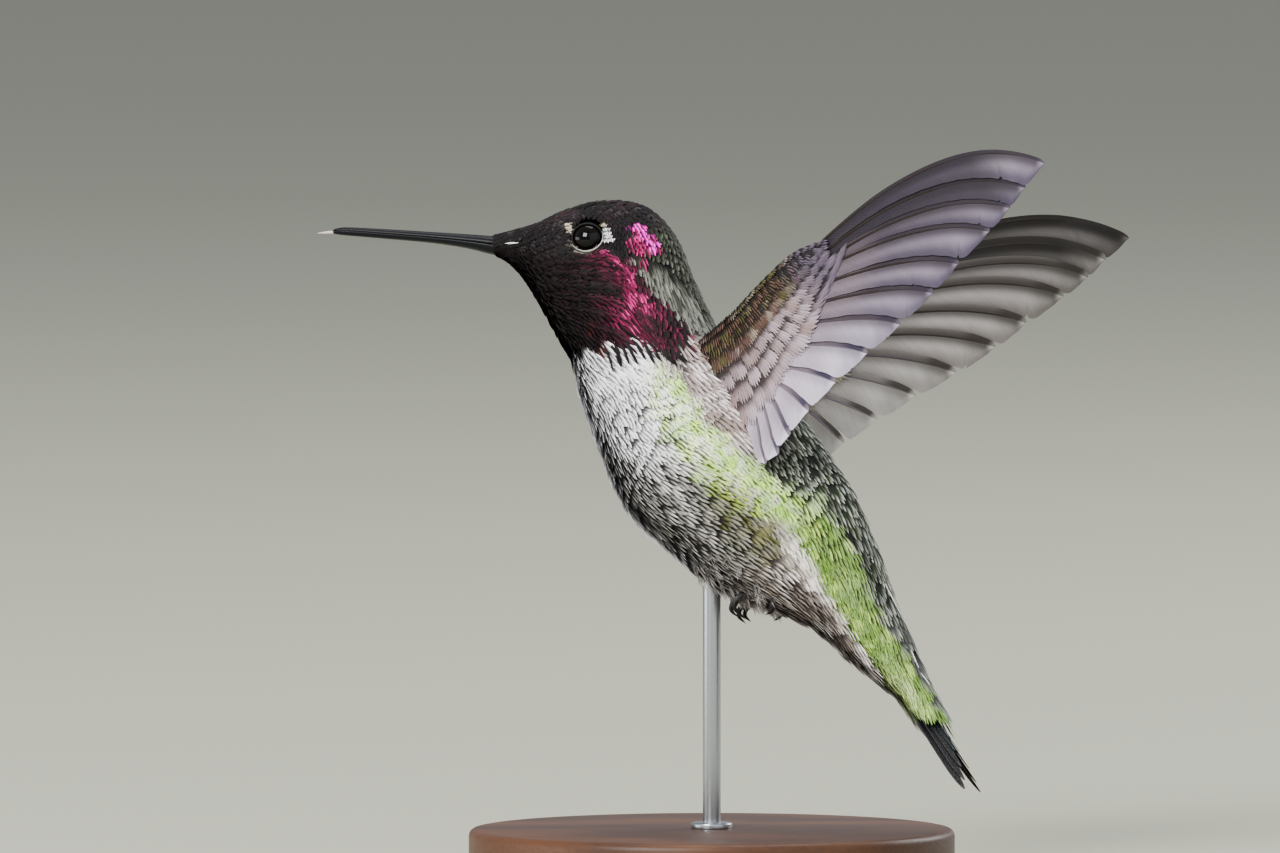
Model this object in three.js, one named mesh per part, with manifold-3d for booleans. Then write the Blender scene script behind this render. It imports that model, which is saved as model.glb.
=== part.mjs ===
// Anna's hummingbird, adult male, life size, hovering, held up by a plain display stand.
//
// Millimetres, +Z up. The origin is the centre of the stand's underside. The bird faces -X, its
// tail points to +X and its left side is -Y. The bird is modelled level, with its plane of symmetry
// at y = 0, and is then banked as one group about an axis along X.
import * as THREE from 'three';
import { mergeVertices } from 'three/addons/utils/BufferGeometryUtils.js';
import Module from 'manifold-3d';

// ---- Driving dimensions -------------------------------------------------------------------------

const GAP = 0.3; // clear space between two neighbouring pieces
const FINE_GAP = 0.1; // the same between the halves of the bill and between tail feathers

const BASE_RADIUS = 27;
const BASE_HEIGHT = 5;
const BASE_CHAMFER = 0.8;
const BASE_SIDES = 40;
const ROD_RADIUS = 1;
const ROD_SIDES = 24;
const ROD_SEAT = 3; // depth of the rod's hole in the base
const ROD_REACH = 38; // height of the rod's upper end, inside the belly

const BANK_DEGREES = -10.1; // left side up
const BANK_AXIS_HEIGHT = 36;

// The body in side view, from the base of the bill to the end of the tail coverts: a point of the
// back, the facing point of the underside, and half the width between them.
const BODY_STATIONS = [
  { back: [-25.6, 71.0], keel: [-25.4, 68.8], halfWidth: 1.3 },
  { back: [-23.5, 71.5], keel: [-24.0, 68.1], halfWidth: 2.0 },
  { back: [-20.4, 72.4], keel: [-22.5, 66.8], halfWidth: 3.5 },
  { back: [-17.1, 73.9], keel: [-21.0, 64.8], halfWidth: 4.9 },
  { back: [-13.0, 74.9], keel: [-19.5, 62.4], halfWidth: 5.9 },
  { back: [-8.5, 74.3], keel: [-17.9, 59.6], halfWidth: 6.6 },
  { back: [-5.1, 71.1], keel: [-16.2, 56.7], halfWidth: 7.2 },
  { back: [-3.0, 66.5], keel: [-15.1, 52.8], halfWidth: 7.6 },
  { back: [0.2, 60.4], keel: [-13.2, 47.9], halfWidth: 8.4 },
  { back: [4.9, 55.6], keel: [-11.0, 42.7], halfWidth: 9.4 },
  { back: [8.9, 51.7], keel: [-8.4, 38.8], halfWidth: 9.8 },
  { back: [13.0, 46.4], keel: [-3.5, 34.6], halfWidth: 9.4 },
  { back: [15.6, 42.6], keel: [0.5, 31.7], halfWidth: 8.6 },
  { back: [17.5, 38.6], keel: [4.6, 30.0], halfWidth: 7.4 },
  { back: [19.4, 34.1], keel: [8.7, 28.6], halfWidth: 6.0 },
  { back: [20.9, 30.0], keel: [12.4, 26.6], halfWidth: 4.9 },
  { back: [22.6, 26.4], keel: [15.7, 23.7], halfWidth: 4.1 },
  { back: [23.9, 23.4], keel: [18.7, 21.3], halfWidth: 3.5 },
  { back: [25.3, 20.6], keel: [21.2, 19.4], halfWidth: 2.9 },
];
// Where the body is parted, in stations counted from the bill.
const HEAD_END = 5.4;
const NECK_END = 7.1;
const TRUNK_END = 13.6;
const PARTING = 0.05; // half the width of a parting, in stations
const SECTION_SIDES = 24;
const BALL_RINGS = 0.7; // rings of a ball for each facet round it
const STEPS_PER_STATION = 2.2;
const SECTION_ROUNDNESS = 2.2; // exponent of the body's superellipse section
const LOW_FULLNESS = 0.07; // how much wider a section is at the belly than at the back

const EYE_RADIUS = 1.9;
const EYE_SIDES = 14;
const EYE_CENTRE = [-14.05, 4.35, 70.35]; // of the right eye

const BILL_TIP = [-43.7, 71.35];
const BILL_BASE_X = -25.85;
// Heights of the bill's ridge, gape and lower edge, and half its width, at its base and further out.
const BILL_STATIONS = [
  { x: BILL_BASE_X, ridge: 71.0, gape: 69.95, under: 68.85, halfWidth: 1.3 },
  { x: -28.5, ridge: 71.15, gape: 70.3, under: 69.5, halfWidth: 1.1 },
  { x: -32.5, ridge: 71.35, gape: 70.65, under: 70.1, halfWidth: 0.85 },
  { x: -37.5, ridge: 71.62, gape: 71.05, under: 70.5, halfWidth: 0.7 },
  { x: -41.8, ridge: 71.84, gape: 71.35, under: 70.8, halfWidth: 0.6 },
];
const BILL_SIDES = 8; // facets round half the bill
const BILL_NIB = 0.25; // size of the blunt point, as a share of the last station's section
const BILL_NIB_RISE = 0.2; // height of each half's point from the gape
const TONGUE_RADIUS = 0.25;
const TONGUE_SIDES = 6;
const TONGUE_TIP = [-45.4, 71.1];

// The wing is drawn on its own plane: u runs out along the wing, v runs back across it.
const SHOULDER = [-0.4, 6.5, 58.1]; // of the right wing
const LEFT_WING_OUT = [0.794, -0.528, 0.302];
const LEFT_WING_BACK = [0.27, -0.14, -0.952];
const RIGHT_WING_OUT = [0.804, 0.508, 0.31];
const RIGHT_WING_BACK = [0.23, 0.214, -0.949];
const WING_CAMBER = 1.1; // rise of the wing's surface above its plane
const WING_SPAN = 52.1;
const TIP_FLATNESS = 0.6; // share of the camber that is gone at the tip
const FRONT_EDGE_V = -5;
const ROOT_CHORD = 20;
const CHORD_TAPER = 0.27; // narrowing of the chord with each millimetre of span
const ARM_THICKNESS = 2.4; // at the front edge, by the shoulder
const WRIST_THICKNESS = 1.6;
const HAND_THICKNESS = 0.9; // where the outer flight feathers leave the hand
const BLADE_THICKNESS = 0.5; // a feather, and the rear edge of the coverts
const WING_FRONT = [[-1.4, -1.0], [4.5, -2.2], [10.3, -3.9], [15.5, -5.0], [19.2, -4.7]];
const COVERT_EDGE = [[2.4, 10.9], [5.9, 8.4], [10.2, 4.8], [15.4, 2.2], [20.3, -2.2]];
const WRIST = 3; // the front edge's point that is the wrist
// The sleeve of coverts from front to rear: share of the way back, share of the full thickness.
const SLEEVE_PROFILE = [[0, 0.15], [0.04, 0.7], [0.14, 1], [0.35, 0.8], [0.7, 0.45], [1, 0]];
const SLEEVE_STEPS = 2; // rings between two points of the front edge

// Flight feathers from the outermost inwards: where the shaft leaves the coverts, and its tip.
const FLIGHT_FEATHERS = [
  { name: 'primary_10', root: [19.6, -4.7], tip: [52.1, -1.2], bow: 0.118 },
  { name: 'primary_9', root: [20.3, -3.7], tip: [48.7, 0.4], bow: 0.1 },
  { name: 'primary_8', root: [20.7, -2.8], tip: [46.1, 1.8], bow: 0.085 },
  { name: 'primary_7', root: [20.9, -1.9], tip: [42.6, 3.2], bow: 0.07 },
  { name: 'primary_6', root: [19.2, -0.2], tip: [37.4, 5.0], bow: 0.055 },
  { name: 'primary_5', root: [17.1, 1.5], tip: [33.0, 6.7], bow: 0.045 },
  { name: 'primary_4', root: [14.2, 2.9], tip: [27.5, 8.3], bow: 0.04 },
  { name: 'primary_3', root: [11.5, 4.3], tip: [22.0, 9.6], bow: 0.03 },
  { name: 'primary_2', root: [9.2, 6.0], tip: [16.7, 11.0], bow: 0.02 },
  { name: 'primary_1', root: [7.8, 7.2], tip: [12.1, 12.6], bow: 0.01 },
  { name: 'secondary_outer', root: [6.6, 8.3], tip: [8.6, 14.2], bow: 0 },
  { name: 'secondary_middle', root: [5.5, 9.3], tip: [6.4, 15.6], bow: 0 },
  { name: 'secondary_inner', root: [4.2, 10.3], tip: [4.4, 15.9], bow: 0 },
];
const INNER_EDGE = { root: [2.6, 11.5], tip: [3.2, 14.9], bow: 0 };
const BOW_PLACE = 0.64; // where along a shaft its bow is pulled
const FEATHER_STEPS = 6; // lengthwise divisions of a feather
const OVERLAP_END = 0.93; // where a feather's trailing edge meets the next shaft

// The tail is a low arch of feathers, five a side, rolled a little to the left.
const TAIL_ROOT = [21.35, 0, 22.7];
const TAIL_DIRECTION = [0.575, 0, -0.818];
const TAIL_ROLL_DEGREES = 2;
const TAIL_ARCH = 2.1; // height of the middle pair above the outer pair
const TAIL_ROOT_HALF_WIDTH = 2.4;
const TAIL_SPREAD = 0.16; // how much half the tail widens with each millimetre
const TAIL_LENGTHS = [10.2, 11.8, 13.6, 15.1, 16.3]; // from the middle pair to the outer pair
const TAIL_SOCKETS = 5; // flat cuts across the tail that make room for its roots
const TAIL_TIP_START = 0.7; // where a tail feather starts to narrow, as a share of its length
const TAIL_TIP_NARROWING = 0.3; // how far each edge comes in at the tip, as a share of the width

const LEG_CENTRE = [8.0, 2.7, 30.4]; // of the right leg's feathered part
const LEG_RADII = [2.6, 1.5, 1.5];
const LEG_SIDES = 12;
const FOOT_CENTRE = [5.7, 2.6, 30.1]; // of the right foot's palm
const PALM_RADII = [0.9, 0.8, 0.6];
const PALM_SIDES = 8;
const FOOT_ROOM = [3.2, 2, 2]; // radii of the hollow that the foot is tucked into
const FOOT_ROOM_LEAD = 0.5; // how far ahead of the palm the hollow's centre is
const TOE_RADIUS = 0.4;
const TOE_TAPER = 0.8; // a toe's thickness where its claw starts, as a share of its root's
const CLAW_RADIUS = 0.26;
const TOE_SIDES = 5;
// Each toe as a path from the palm: forwards or back (x), outwards (y) and up (z).
const TOES = [
  [[0, 0, 0.4], [-1.7, -0.9, 0.5], [-2.5, -1.1, -0.6], [-1.8, -1.1, -1.5]],
  [[0, 0, 0.4], [-2.0, 0.0, 0.3], [-2.7, 0.0, -0.9], [-1.9, 0.0, -1.8]],
  [[0, 0, 0.4], [-1.6, 0.9, 0.4], [-2.2, 1.1, -0.7], [-1.5, 1.1, -1.5]],
  [[0, 0, 0.4], [1.5, 0.0, -0.1], [1.7, 0.0, -1.0], [1.0, 0.0, -1.5]],
];

const COLOURS = {
  bill: { color: 0x15161b, roughness: 0.4, metalness: 0 },
  tongue: { color: 0xd9d2c8, roughness: 0.5, metalness: 0 },
  eye: { color: 0x0b0706, roughness: 0.08, metalness: 0 },
  head: { color: 0x5a1030, roughness: 0.45, metalness: 0.3 },
  neck: { color: 0x6d1236, roughness: 0.45, metalness: 0.3 },
  trunk: { color: 0x7d8a5a, roughness: 0.7, metalness: 0.1 },
  coverts: { color: 0x7f9a4c, roughness: 0.6, metalness: 0.2 },
  wing: { color: 0x6f6067, roughness: 0.65, metalness: 0 },
  flight: { color: 0x857b83, roughness: 0.6, metalness: 0 },
  tail: { color: 0x20201f, roughness: 0.5, metalness: 0 },
  leg: { color: 0xd8d0c8, roughness: 0.8, metalness: 0 },
  foot: { color: 0x17140f, roughness: 0.5, metalness: 0 },
  base: { color: 0x5b3a22, roughness: 0.45, metalness: 0 },
  rod: { color: 0x8f9194, roughness: 0.3, metalness: 0.9 },
};

// ---- Solids -------------------------------------------------------------------------------------

const wasm = await Module();
wasm.setup();

const vector = (values) => new THREE.Vector3(...values);
const flipped = ([x, y, z]) => [x, -y, z];

/** Signed volume of a closed triangle list: negative when its faces point inwards. */
function signedVolume(positions, index) {
  const [a, b, c] = [new THREE.Vector3(), new THREE.Vector3(), new THREE.Vector3()];
  let volume = 0;
  for (let i = 0; i < index.length; i += 3) {
    a.fromArray(positions, index[i] * 3);
    b.fromArray(positions, index[i + 1] * 3);
    c.fromArray(positions, index[i + 2] * 3);
    volume += a.dot(b.cross(c)) / 6;
  }
  return volume;
}

/** A closed geometry from positions and triangles, turned so that its faces point out. */
function closedGeometry(positions, index) {
  if (signedVolume(positions, index) < 0) index.reverse();
  const geometry = new THREE.BufferGeometry();
  geometry.setAttribute('position', new THREE.Float32BufferAttribute(positions, 3));
  geometry.setIndex(index);
  geometry.computeVertexNormals();
  return geometry;
}

/** Joins rings of equally many points into one closed body, each end closed by a fan. */
function loft(rings) {
  const sides = rings[0].length;
  const positions = rings.flat().flatMap((point) => point.toArray());
  const index = [];
  for (let ring = 0; ring + 1 < rings.length; ring++) {
    for (let side = 0; side < sides; side++) {
      const next = (side + 1) % sides;
      const a = ring * sides + side;
      const b = ring * sides + next;
      index.push(a, b, a + sides, b, b + sides, a + sides);
    }
  }
  for (const ring of [0, rings.length - 1]) {
    const middle = new THREE.Vector3();
    rings[ring].forEach((point) => middle.addScaledVector(point, 1 / sides));
    const centre = positions.length / 3;
    positions.push(...middle.toArray());
    for (let side = 0; side < sides; side++) {
      const edge = [ring * sides + side, ring * sides + ((side + 1) % sides)];
      index.push(...(ring === 0 ? [edge[1], edge[0]] : edge), centre);
    }
  }
  return closedGeometry(positions, index);
}

/** A manifold solid of a geometry, for cutting and joining. */
function solidOf(geometry) {
  const bare = geometry.clone();
  bare.deleteAttribute('normal');
  bare.deleteAttribute('uv');
  const merged = mergeVertices(bare, 1e-4);
  return new wasm.Manifold(new wasm.Mesh({
    numProp: 3,
    vertProperties: new Float32Array(merged.attributes.position.array),
    triVerts: new Uint32Array(merged.index.array),
  }));
}

/** A geometry of a manifold solid. */
function geometryOf(solid) {
  const { vertProperties, triVerts } = solid.getMesh();
  return closedGeometry(Array.from(vertProperties), Array.from(triVerts));
}

/** The geometry with each of the cutters taken out of it. */
function carved(geometry, cutters) {
  return geometryOf(cutters.reduce((solid, cutter) => solid.subtract(solidOf(cutter)), solidOf(geometry)));
}

/** The geometry joined with others that it meets. */
function joined(geometries) {
  return geometryOf(geometries.map(solidOf).reduce((solid, other) => solid.add(other)));
}

/** The mirror image of a geometry, across the plane through the origin that is square to an axis. */
function mirrored(geometry, axis = 'y') {
  const copy = geometry.clone();
  const scale = { x: 1, y: 1, z: 1, [axis]: -1 };
  copy.scale(scale.x, scale.y, scale.z);
  return closedGeometry(Array.from(copy.attributes.position.array), Array.from(copy.index.array));
}

/** A ball with three radii about a centre. */
function ellipsoid(centre, radii, sides) {
  const ball = new THREE.SphereGeometry(1, sides, Math.round(sides * BALL_RINGS));
  ball.scale(...radii);
  ball.translate(...centre);
  return geometryOf(solidOf(ball));
}

/** A round rod along a path whose radius goes evenly from one value to another. */
function taperedRod(points, startRadius, endRadius, sides) {
  const path = new THREE.CatmullRomCurve3(points.map(vector));
  const steps = points.length;
  const frames = path.computeFrenetFrames(steps, false);
  const rings = [];
  for (let step = 0; step <= steps; step++) {
    const centre = path.getPointAt(step / steps);
    const radius = THREE.MathUtils.lerp(startRadius, endRadius, step / steps);
    rings.push(Array.from({ length: sides }, (_, side) => {
      const angle = (side / sides) * 2 * Math.PI;
      return centre.clone()
        .addScaledVector(frames.normals[step], radius * Math.cos(angle))
        .addScaledVector(frames.binormals[step], radius * Math.sin(angle));
    }));
  }
  return loft(rings);
}

/** A value's power that keeps its sign. */
const signedPower = (value, power) => Math.sign(value) * Math.abs(value) ** power;

// ---- Body ---------------------------------------------------------------------------------------

const stationCurve = (pick) => new THREE.CatmullRomCurve3(BODY_STATIONS.map(pick), false, 'catmullrom', 0.5);
const backCurve = stationCurve(({ back, halfWidth }) => new THREE.Vector3(back[0], halfWidth, back[1]));
const keelCurve = stationCurve(({ keel }) => new THREE.Vector3(keel[0], 0, keel[1]));

/** The body's section at a station, which may lie between two of the list. */
function bodySection(station) {
  const place = station / (BODY_STATIONS.length - 1);
  const back = backCurve.getPoint(place);
  const keel = keelCurve.getPoint(place);
  const halfWidth = back.y;
  back.y = 0;
  const middle = back.clone().lerp(keel, 0.5);
  const halfDepth = back.clone().sub(keel).multiplyScalar(0.5);
  const power = 2 / SECTION_ROUNDNESS;
  return Array.from({ length: SECTION_SIDES }, (_, side) => {
    const angle = (side / SECTION_SIDES) * 2 * Math.PI;
    const rise = signedPower(Math.cos(angle), power);
    const point = middle.clone().addScaledVector(halfDepth, rise);
    point.y = halfWidth * (1 - LOW_FULLNESS * rise) * signedPower(Math.sin(angle), power);
    return point;
  });
}

/** One length of the body between two stations. */
function bodyLength(start, end) {
  const steps = Math.round((end - start) * STEPS_PER_STATION);
  const stations = Array.from({ length: steps + 1 }, (_, step) => start + ((end - start) * step) / steps);
  return loft(stations.map(bodySection));
}

// ---- Wings --------------------------------------------------------------------------------------

/** A point of the wing's cambered surface, raised along the wing's own third axis. */
function wingPoint(u, v, height) {
  const chord = ROOT_CHORD - CHORD_TAPER * u;
  const across = THREE.MathUtils.clamp((v - FRONT_EDGE_V) / chord, 0, 1);
  const inboard = 1 - (TIP_FLATNESS * u) / WING_SPAN;
  return new THREE.Vector3(u, v, WING_CAMBER * inboard * 4 * across * (1 - across) + height);
}

const flatCurve = (points) => new THREE.CatmullRomCurve3(points.map(([u, v]) => new THREE.Vector3(u, v, 0)),
  false, 'catmullrom', 0.5);

/** The feathered arm or hand between two points of the front edge, thick in front and thin behind. */
function wingSleeve(start, end, startThickness, endThickness, grow = 0) {
  const front = flatCurve(WING_FRONT);
  const rear = flatCurve(COVERT_EDGE);
  const last = WING_FRONT.length - 1;
  const steps = Math.round((end - start) * SLEEVE_STEPS);
  const rings = [];
  for (let step = 0; step <= steps; step++) {
    const along = step / steps;
    const place = THREE.MathUtils.lerp(start, end, along) / last;
    const a = front.getPoint(place);
    const b = rear.getPoint(place);
    const reach = grow / a.distanceTo(b);
    const thickness = THREE.MathUtils.lerp(startThickness, endThickness, along);
    const side = (sign) => SLEEVE_PROFILE.map(([across, full]) => {
      const spot = a.clone().lerp(b, across * (1 + 2 * reach) - reach);
      const half = Math.max(thickness * full, BLADE_THICKNESS) / 2 + grow;
      return wingPoint(spot.x, spot.y, sign * half);
    });
    rings.push([...side(1), ...side(-1).reverse()]);
  }
  return loft(rings);
}

/** A shaft's curve on the wing's plane, bowed towards the front edge. */
function shaftCurve({ root, tip, bow }) {
  const [start, end] = [new THREE.Vector2(...root), new THREE.Vector2(...tip)];
  const run = end.clone().sub(start);
  const forward = new THREE.Vector2(run.y, -run.x);
  const control = start.clone().lerp(end, BOW_PLACE).addScaledVector(forward, 2 * bow);
  return new THREE.QuadraticBezierCurve(start, control, end);
}

/** The strip of wing from one feather's shaft back to the next one's. */
function flightFeather(feather, next) {
  const front = shaftCurve(feather);
  const rear = shaftCurve(next);
  const rings = [];
  for (let step = 0; step <= FEATHER_STEPS; step++) {
    const along = step / FEATHER_STEPS;
    const a = front.getPoint(along);
    const b = rear.getPoint(along * OVERLAP_END);
    b.addScaledVector(a.clone().sub(b).normalize(), GAP);
    rings.push([[a, 1], [b, 1], [b, -1], [a, -1]].map(([spot, sign]) => (
      wingPoint(spot.x, spot.y, (sign * BLADE_THICKNESS) / 2))));
  }
  return loft(rings);
}

/** Every piece of one wing on the wing's plane, by name. */
function wingPieces() {
  const pieces = {
    arm: [wingSleeve(0, WRIST - PARTING, ARM_THICKNESS, WRIST_THICKNESS), 'wing'],
    hand: [wingSleeve(WRIST + PARTING, WING_FRONT.length - 1, WRIST_THICKNESS, HAND_THICKNESS), 'wing'],
  };
  FLIGHT_FEATHERS.forEach((feather, place) => {
    pieces[feather.name] = [flightFeather(feather, FLIGHT_FEATHERS[place + 1] ?? INNER_EDGE), 'flight'];
  });
  return pieces;
}

/** The placing of a wing: its plane's two directions, and the third square to them. */
function wingMatrix(shoulder, outward, backward) {
  const out = vector(outward).normalize();
  const back = vector(backward);
  back.addScaledVector(out, -out.dot(back)).normalize();
  return new THREE.Matrix4().makeBasis(out, back, out.clone().cross(back)).setPosition(...shoulder);
}

// ---- Tail ---------------------------------------------------------------------------------------

/** A point of the tail: lengthwise, crosswise as a share of half its width, and up. */
function tailPoint(along, share, height) {
  const halfWidth = TAIL_ROOT_HALF_WIDTH + TAIL_SPREAD * along;
  return new THREE.Vector3(along, share * halfWidth, TAIL_ARCH * (0.5 - share * share) + height);
}

/** One tail feather on the side of +Y, counted from the middle of the tail. */
function tailFeather(place) {
  const count = TAIL_LENGTHS.length;
  const length = TAIL_LENGTHS[place];
  const rings = [];
  for (let step = 0; step <= FEATHER_STEPS; step++) {
    const part = step / FEATHER_STEPS;
    const along = length * part;
    const halfWidth = TAIL_ROOT_HALF_WIDTH + TAIL_SPREAD * along;
    const narrowing = Math.max(0, (part - TAIL_TIP_START) / (1 - TAIL_TIP_START)) ** 2 * TAIL_TIP_NARROWING;
    const clear = FINE_GAP / 2 / halfWidth;
    const inner = (place + narrowing) / count + clear;
    const outer = (place + 1 - narrowing) / count - clear;
    rings.push([[inner, 1], [outer, 1], [outer, -1], [inner, -1]].map(([share, sign]) => (
      tailPoint(along, share, (sign * BLADE_THICKNESS) / 2))));
  }
  return loft(rings);
}

/** The room that the roots of the tail feathers take up inside the tail coverts, in flat lengths. */
function tailSockets() {
  const half = BLADE_THICKNESS / 2 + GAP;
  return Array.from({ length: TAIL_SOCKETS }, (_, place) => loft([-GAP, TAIL_LENGTHS[0]].map((along) => {
    const left = tailPoint(along, (2 * place) / TAIL_SOCKETS - 1, 0);
    const right = tailPoint(along, (2 * (place + 1)) / TAIL_SOCKETS - 1, 0);
    const outward = right.clone().sub(left).setLength(GAP);
    const upward = new THREE.Vector3(0, 0, half);
    const ends = [left.sub(outward), right.add(outward)];
    const upper = ends.map((end) => end.clone().add(upward));
    const lower = ends.map((end) => end.clone().sub(upward));
    return [...upper, ...lower.reverse()];
  })));
}

/** The placing of the tail, with its length along the first axis and its upper side up the third. */
function tailMatrix() {
  const along = vector(TAIL_DIRECTION).normalize();
  const roll = THREE.MathUtils.degToRad(-TAIL_ROLL_DEGREES);
  const across = new THREE.Vector3(0, 1, 0).applyAxisAngle(along, roll);
  return new THREE.Matrix4().makeBasis(along, across, along.clone().cross(across)).setPosition(...TAIL_ROOT);
}

// ---- Bill, feet and stand -----------------------------------------------------------------------

/** Half of the bill, above or below the gape, from its base to its point. */
function billHalf(edge, sign) {
  const rings = BILL_STATIONS.map((station) => {
    const level = station.gape + (sign * FINE_GAP) / 2;
    const rise = station[edge] - level;
    return Array.from({ length: BILL_SIDES + 1 }, (_, side) => {
      const angle = (side / BILL_SIDES) * Math.PI;
      const y = station.halfWidth * Math.cos(angle);
      return new THREE.Vector3(station.x, y, level + rise * Math.sin(angle));
    });
  });
  const point = new THREE.Vector3(BILL_TIP[0], 0, BILL_TIP[1] + sign * (FINE_GAP / 2 + BILL_NIB_RISE));
  const last = rings[rings.length - 1];
  rings.push(last.map((spot) => spot.clone().sub(last[BILL_SIDES / 2]).multiplyScalar(BILL_NIB).add(point)));
  return loft(rings);
}

/** The right foot: four curled toes, each ending in a claw, on a small palm. */
function footGeometry() {
  const place = vector(FOOT_CENTRE);
  const toes = TOES.flatMap((path) => {
    const points = path.map((step) => vector(step).add(place).toArray());
    return [taperedRod(points.slice(0, 3), TOE_RADIUS, TOE_RADIUS * TOE_TAPER, TOE_SIDES),
      taperedRod(points.slice(2), TOE_RADIUS * TOE_TAPER, CLAW_RADIUS, TOE_SIDES)];
  });
  const palm = ellipsoid(place.clone().setZ(place.z + TOES[0][0][2]).toArray(), PALM_RADII, PALM_SIDES);
  return joined([palm, ...toes]);
}

/** The stand's base: a disc with a chamfered rim and a blind hole for the rod. */
function baseGeometry() {
  const profile = [
    [0, 0],
    [BASE_RADIUS - BASE_CHAMFER, 0],
    [BASE_RADIUS, BASE_CHAMFER],
    [BASE_RADIUS, BASE_HEIGHT - BASE_CHAMFER],
    [BASE_RADIUS - BASE_CHAMFER, BASE_HEIGHT],
    [ROD_RADIUS + GAP, BASE_HEIGHT],
    [ROD_RADIUS + GAP, BASE_HEIGHT - ROD_SEAT],
    [0, BASE_HEIGHT - ROD_SEAT],
  ];
  const lathe = new THREE.LatheGeometry(profile.map((point) => new THREE.Vector2(...point)), BASE_SIDES);
  lathe.rotateX(Math.PI / 2);
  return geometryOf(solidOf(lathe));
}

/** An upright round rod between two heights. */
function uprightRod(radius, bottom, top) {
  const rod = new THREE.CylinderGeometry(radius, radius, top - bottom, ROD_SIDES);
  rod.rotateX(Math.PI / 2);
  rod.translate(0, 0, (bottom + top) / 2);
  return geometryOf(solidOf(rod));
}

// ---- Assembly -----------------------------------------------------------------------------------

/** A named mesh with a material of its own. */
function piece(name, geometry, finish) {
  const mesh = new THREE.Mesh(geometry, new THREE.MeshStandardMaterial(COLOURS[finish]));
  mesh.name = name;
  return mesh;
}

const leftWing = wingMatrix(flipped(SHOULDER), LEFT_WING_OUT, LEFT_WING_BACK);
const rightWing = wingMatrix(SHOULDER, RIGHT_WING_OUT, RIGHT_WING_BACK);

const bird = new THREE.Group();
const bank = THREE.MathUtils.degToRad(BANK_DEGREES);
bird.rotation.x = bank;
bird.position.set(0, BANK_AXIS_HEIGHT * Math.sin(bank), BANK_AXIS_HEIGHT * (1 - Math.cos(bank)));
bird.updateMatrixWorld();

const armSocket = wingSleeve(0, WRIST - PARTING, ARM_THICKNESS, WRIST_THICKNESS, GAP);
const legs = [LEG_CENTRE, flipped(LEG_CENTRE)].map((centre) => ellipsoid(centre, LEG_RADII, LEG_SIDES));
const legSockets = [LEG_CENTRE, flipped(LEG_CENTRE)].map((centre) => (
  ellipsoid(centre, LEG_RADII.map((radius) => radius + GAP), LEG_SIDES)));
const feet = { right: footGeometry() };
feet.left = mirrored(feet.right);
const footSockets = [FOOT_CENTRE, flipped(FOOT_CENTRE)].map(([x, y, z]) => (
  ellipsoid([x - FOOT_ROOM_LEAD, y, z], FOOT_ROOM, LEG_SIDES)));
const rodSocket = uprightRod(ROD_RADIUS + GAP, BASE_HEIGHT, ROD_REACH + GAP);
rodSocket.applyMatrix4(bird.matrixWorld.clone().invert());
const wingSockets = [
  armSocket.clone().applyMatrix4(leftWing),
  mirrored(armSocket, 'z').applyMatrix4(rightWing),
];

const eyes = { right: ellipsoid(EYE_CENTRE, Array(3).fill(EYE_RADIUS), EYE_SIDES) };
eyes.left = mirrored(eyes.right);
const eyeSockets = [EYE_CENTRE, flipped(EYE_CENTRE)].map((centre) => (
  ellipsoid(centre, Array(3).fill(EYE_RADIUS + GAP / 2), EYE_SIDES)));

const head = bodyLength(0, HEAD_END - PARTING);
const neck = bodyLength(HEAD_END + PARTING, NECK_END - PARTING);
const trunk = bodyLength(NECK_END + PARTING, TRUNK_END - PARTING);
const coverts = bodyLength(TRUNK_END + PARTING, BODY_STATIONS.length - 1);
const tailPlace = tailMatrix();
const tailSocketsInPlace = tailSockets().map((socket) => socket.applyMatrix4(tailPlace));
bird.add(
  piece('head', carved(head, eyeSockets), 'head'),
  piece('neck', carved(neck, wingSockets), 'neck'),
  piece('trunk', carved(trunk, [...wingSockets, ...legSockets, ...footSockets, rodSocket]), 'trunk'),
  piece('tail_coverts', carved(coverts, [...legSockets, ...tailSocketsInPlace]), 'coverts'),
  piece('bill_upper', billHalf('ridge', 1), 'bill'),
  piece('bill_lower', billHalf('under', -1), 'bill'),
);

const tongueStart = [BILL_TIP[0] - GAP, 0, BILL_TIP[1]];
const tongueEnd = [TONGUE_TIP[0], 0, TONGUE_TIP[1]];
const tongue = taperedRod([tongueStart, tongueEnd], TONGUE_RADIUS, TONGUE_RADIUS, TONGUE_SIDES);
bird.add(piece('tongue_tip', tongue, 'tongue'));

const sides = { left: [leftWing, 1], right: [rightWing, -1] };
for (const [side, [matrix, hand]] of Object.entries(sides)) {
  const wing = new THREE.Group();
  wing.applyMatrix4(matrix);
  for (const [name, [geometry, finish]] of Object.entries(wingPieces())) {
    wing.add(piece(`wing_${side}_${name}`, hand === 1 ? geometry : mirrored(geometry, 'z'), finish));
  }
  bird.add(wing, piece(`eye_${side}`, eyes[side], 'eye'), piece(`foot_${side}`, feet[side], 'foot'));
}
bird.add(piece('leg_right', carved(legs[0], [footSockets[0]]), 'leg'));
bird.add(piece('leg_left', carved(legs[1], [footSockets[1]]), 'leg'));

const tail = new THREE.Group();
tail.applyMatrix4(tailPlace);
TAIL_LENGTHS.forEach((_, place) => {
  const feather = tailFeather(place);
  tail.add(piece(`tail_feather_right_${place + 1}`, feather, 'tail'));
  tail.add(piece(`tail_feather_left_${place + 1}`, mirrored(feather), 'tail'));
});
bird.add(tail);

const group = new THREE.Group();
group.add(bird);
group.add(piece('stand_base', baseGeometry(), 'base'));
group.add(piece('stand_rod', uprightRod(ROD_RADIUS, BASE_HEIGHT - ROD_SEAT + GAP / 2, ROD_REACH), 'rod'));

export default group;
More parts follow.
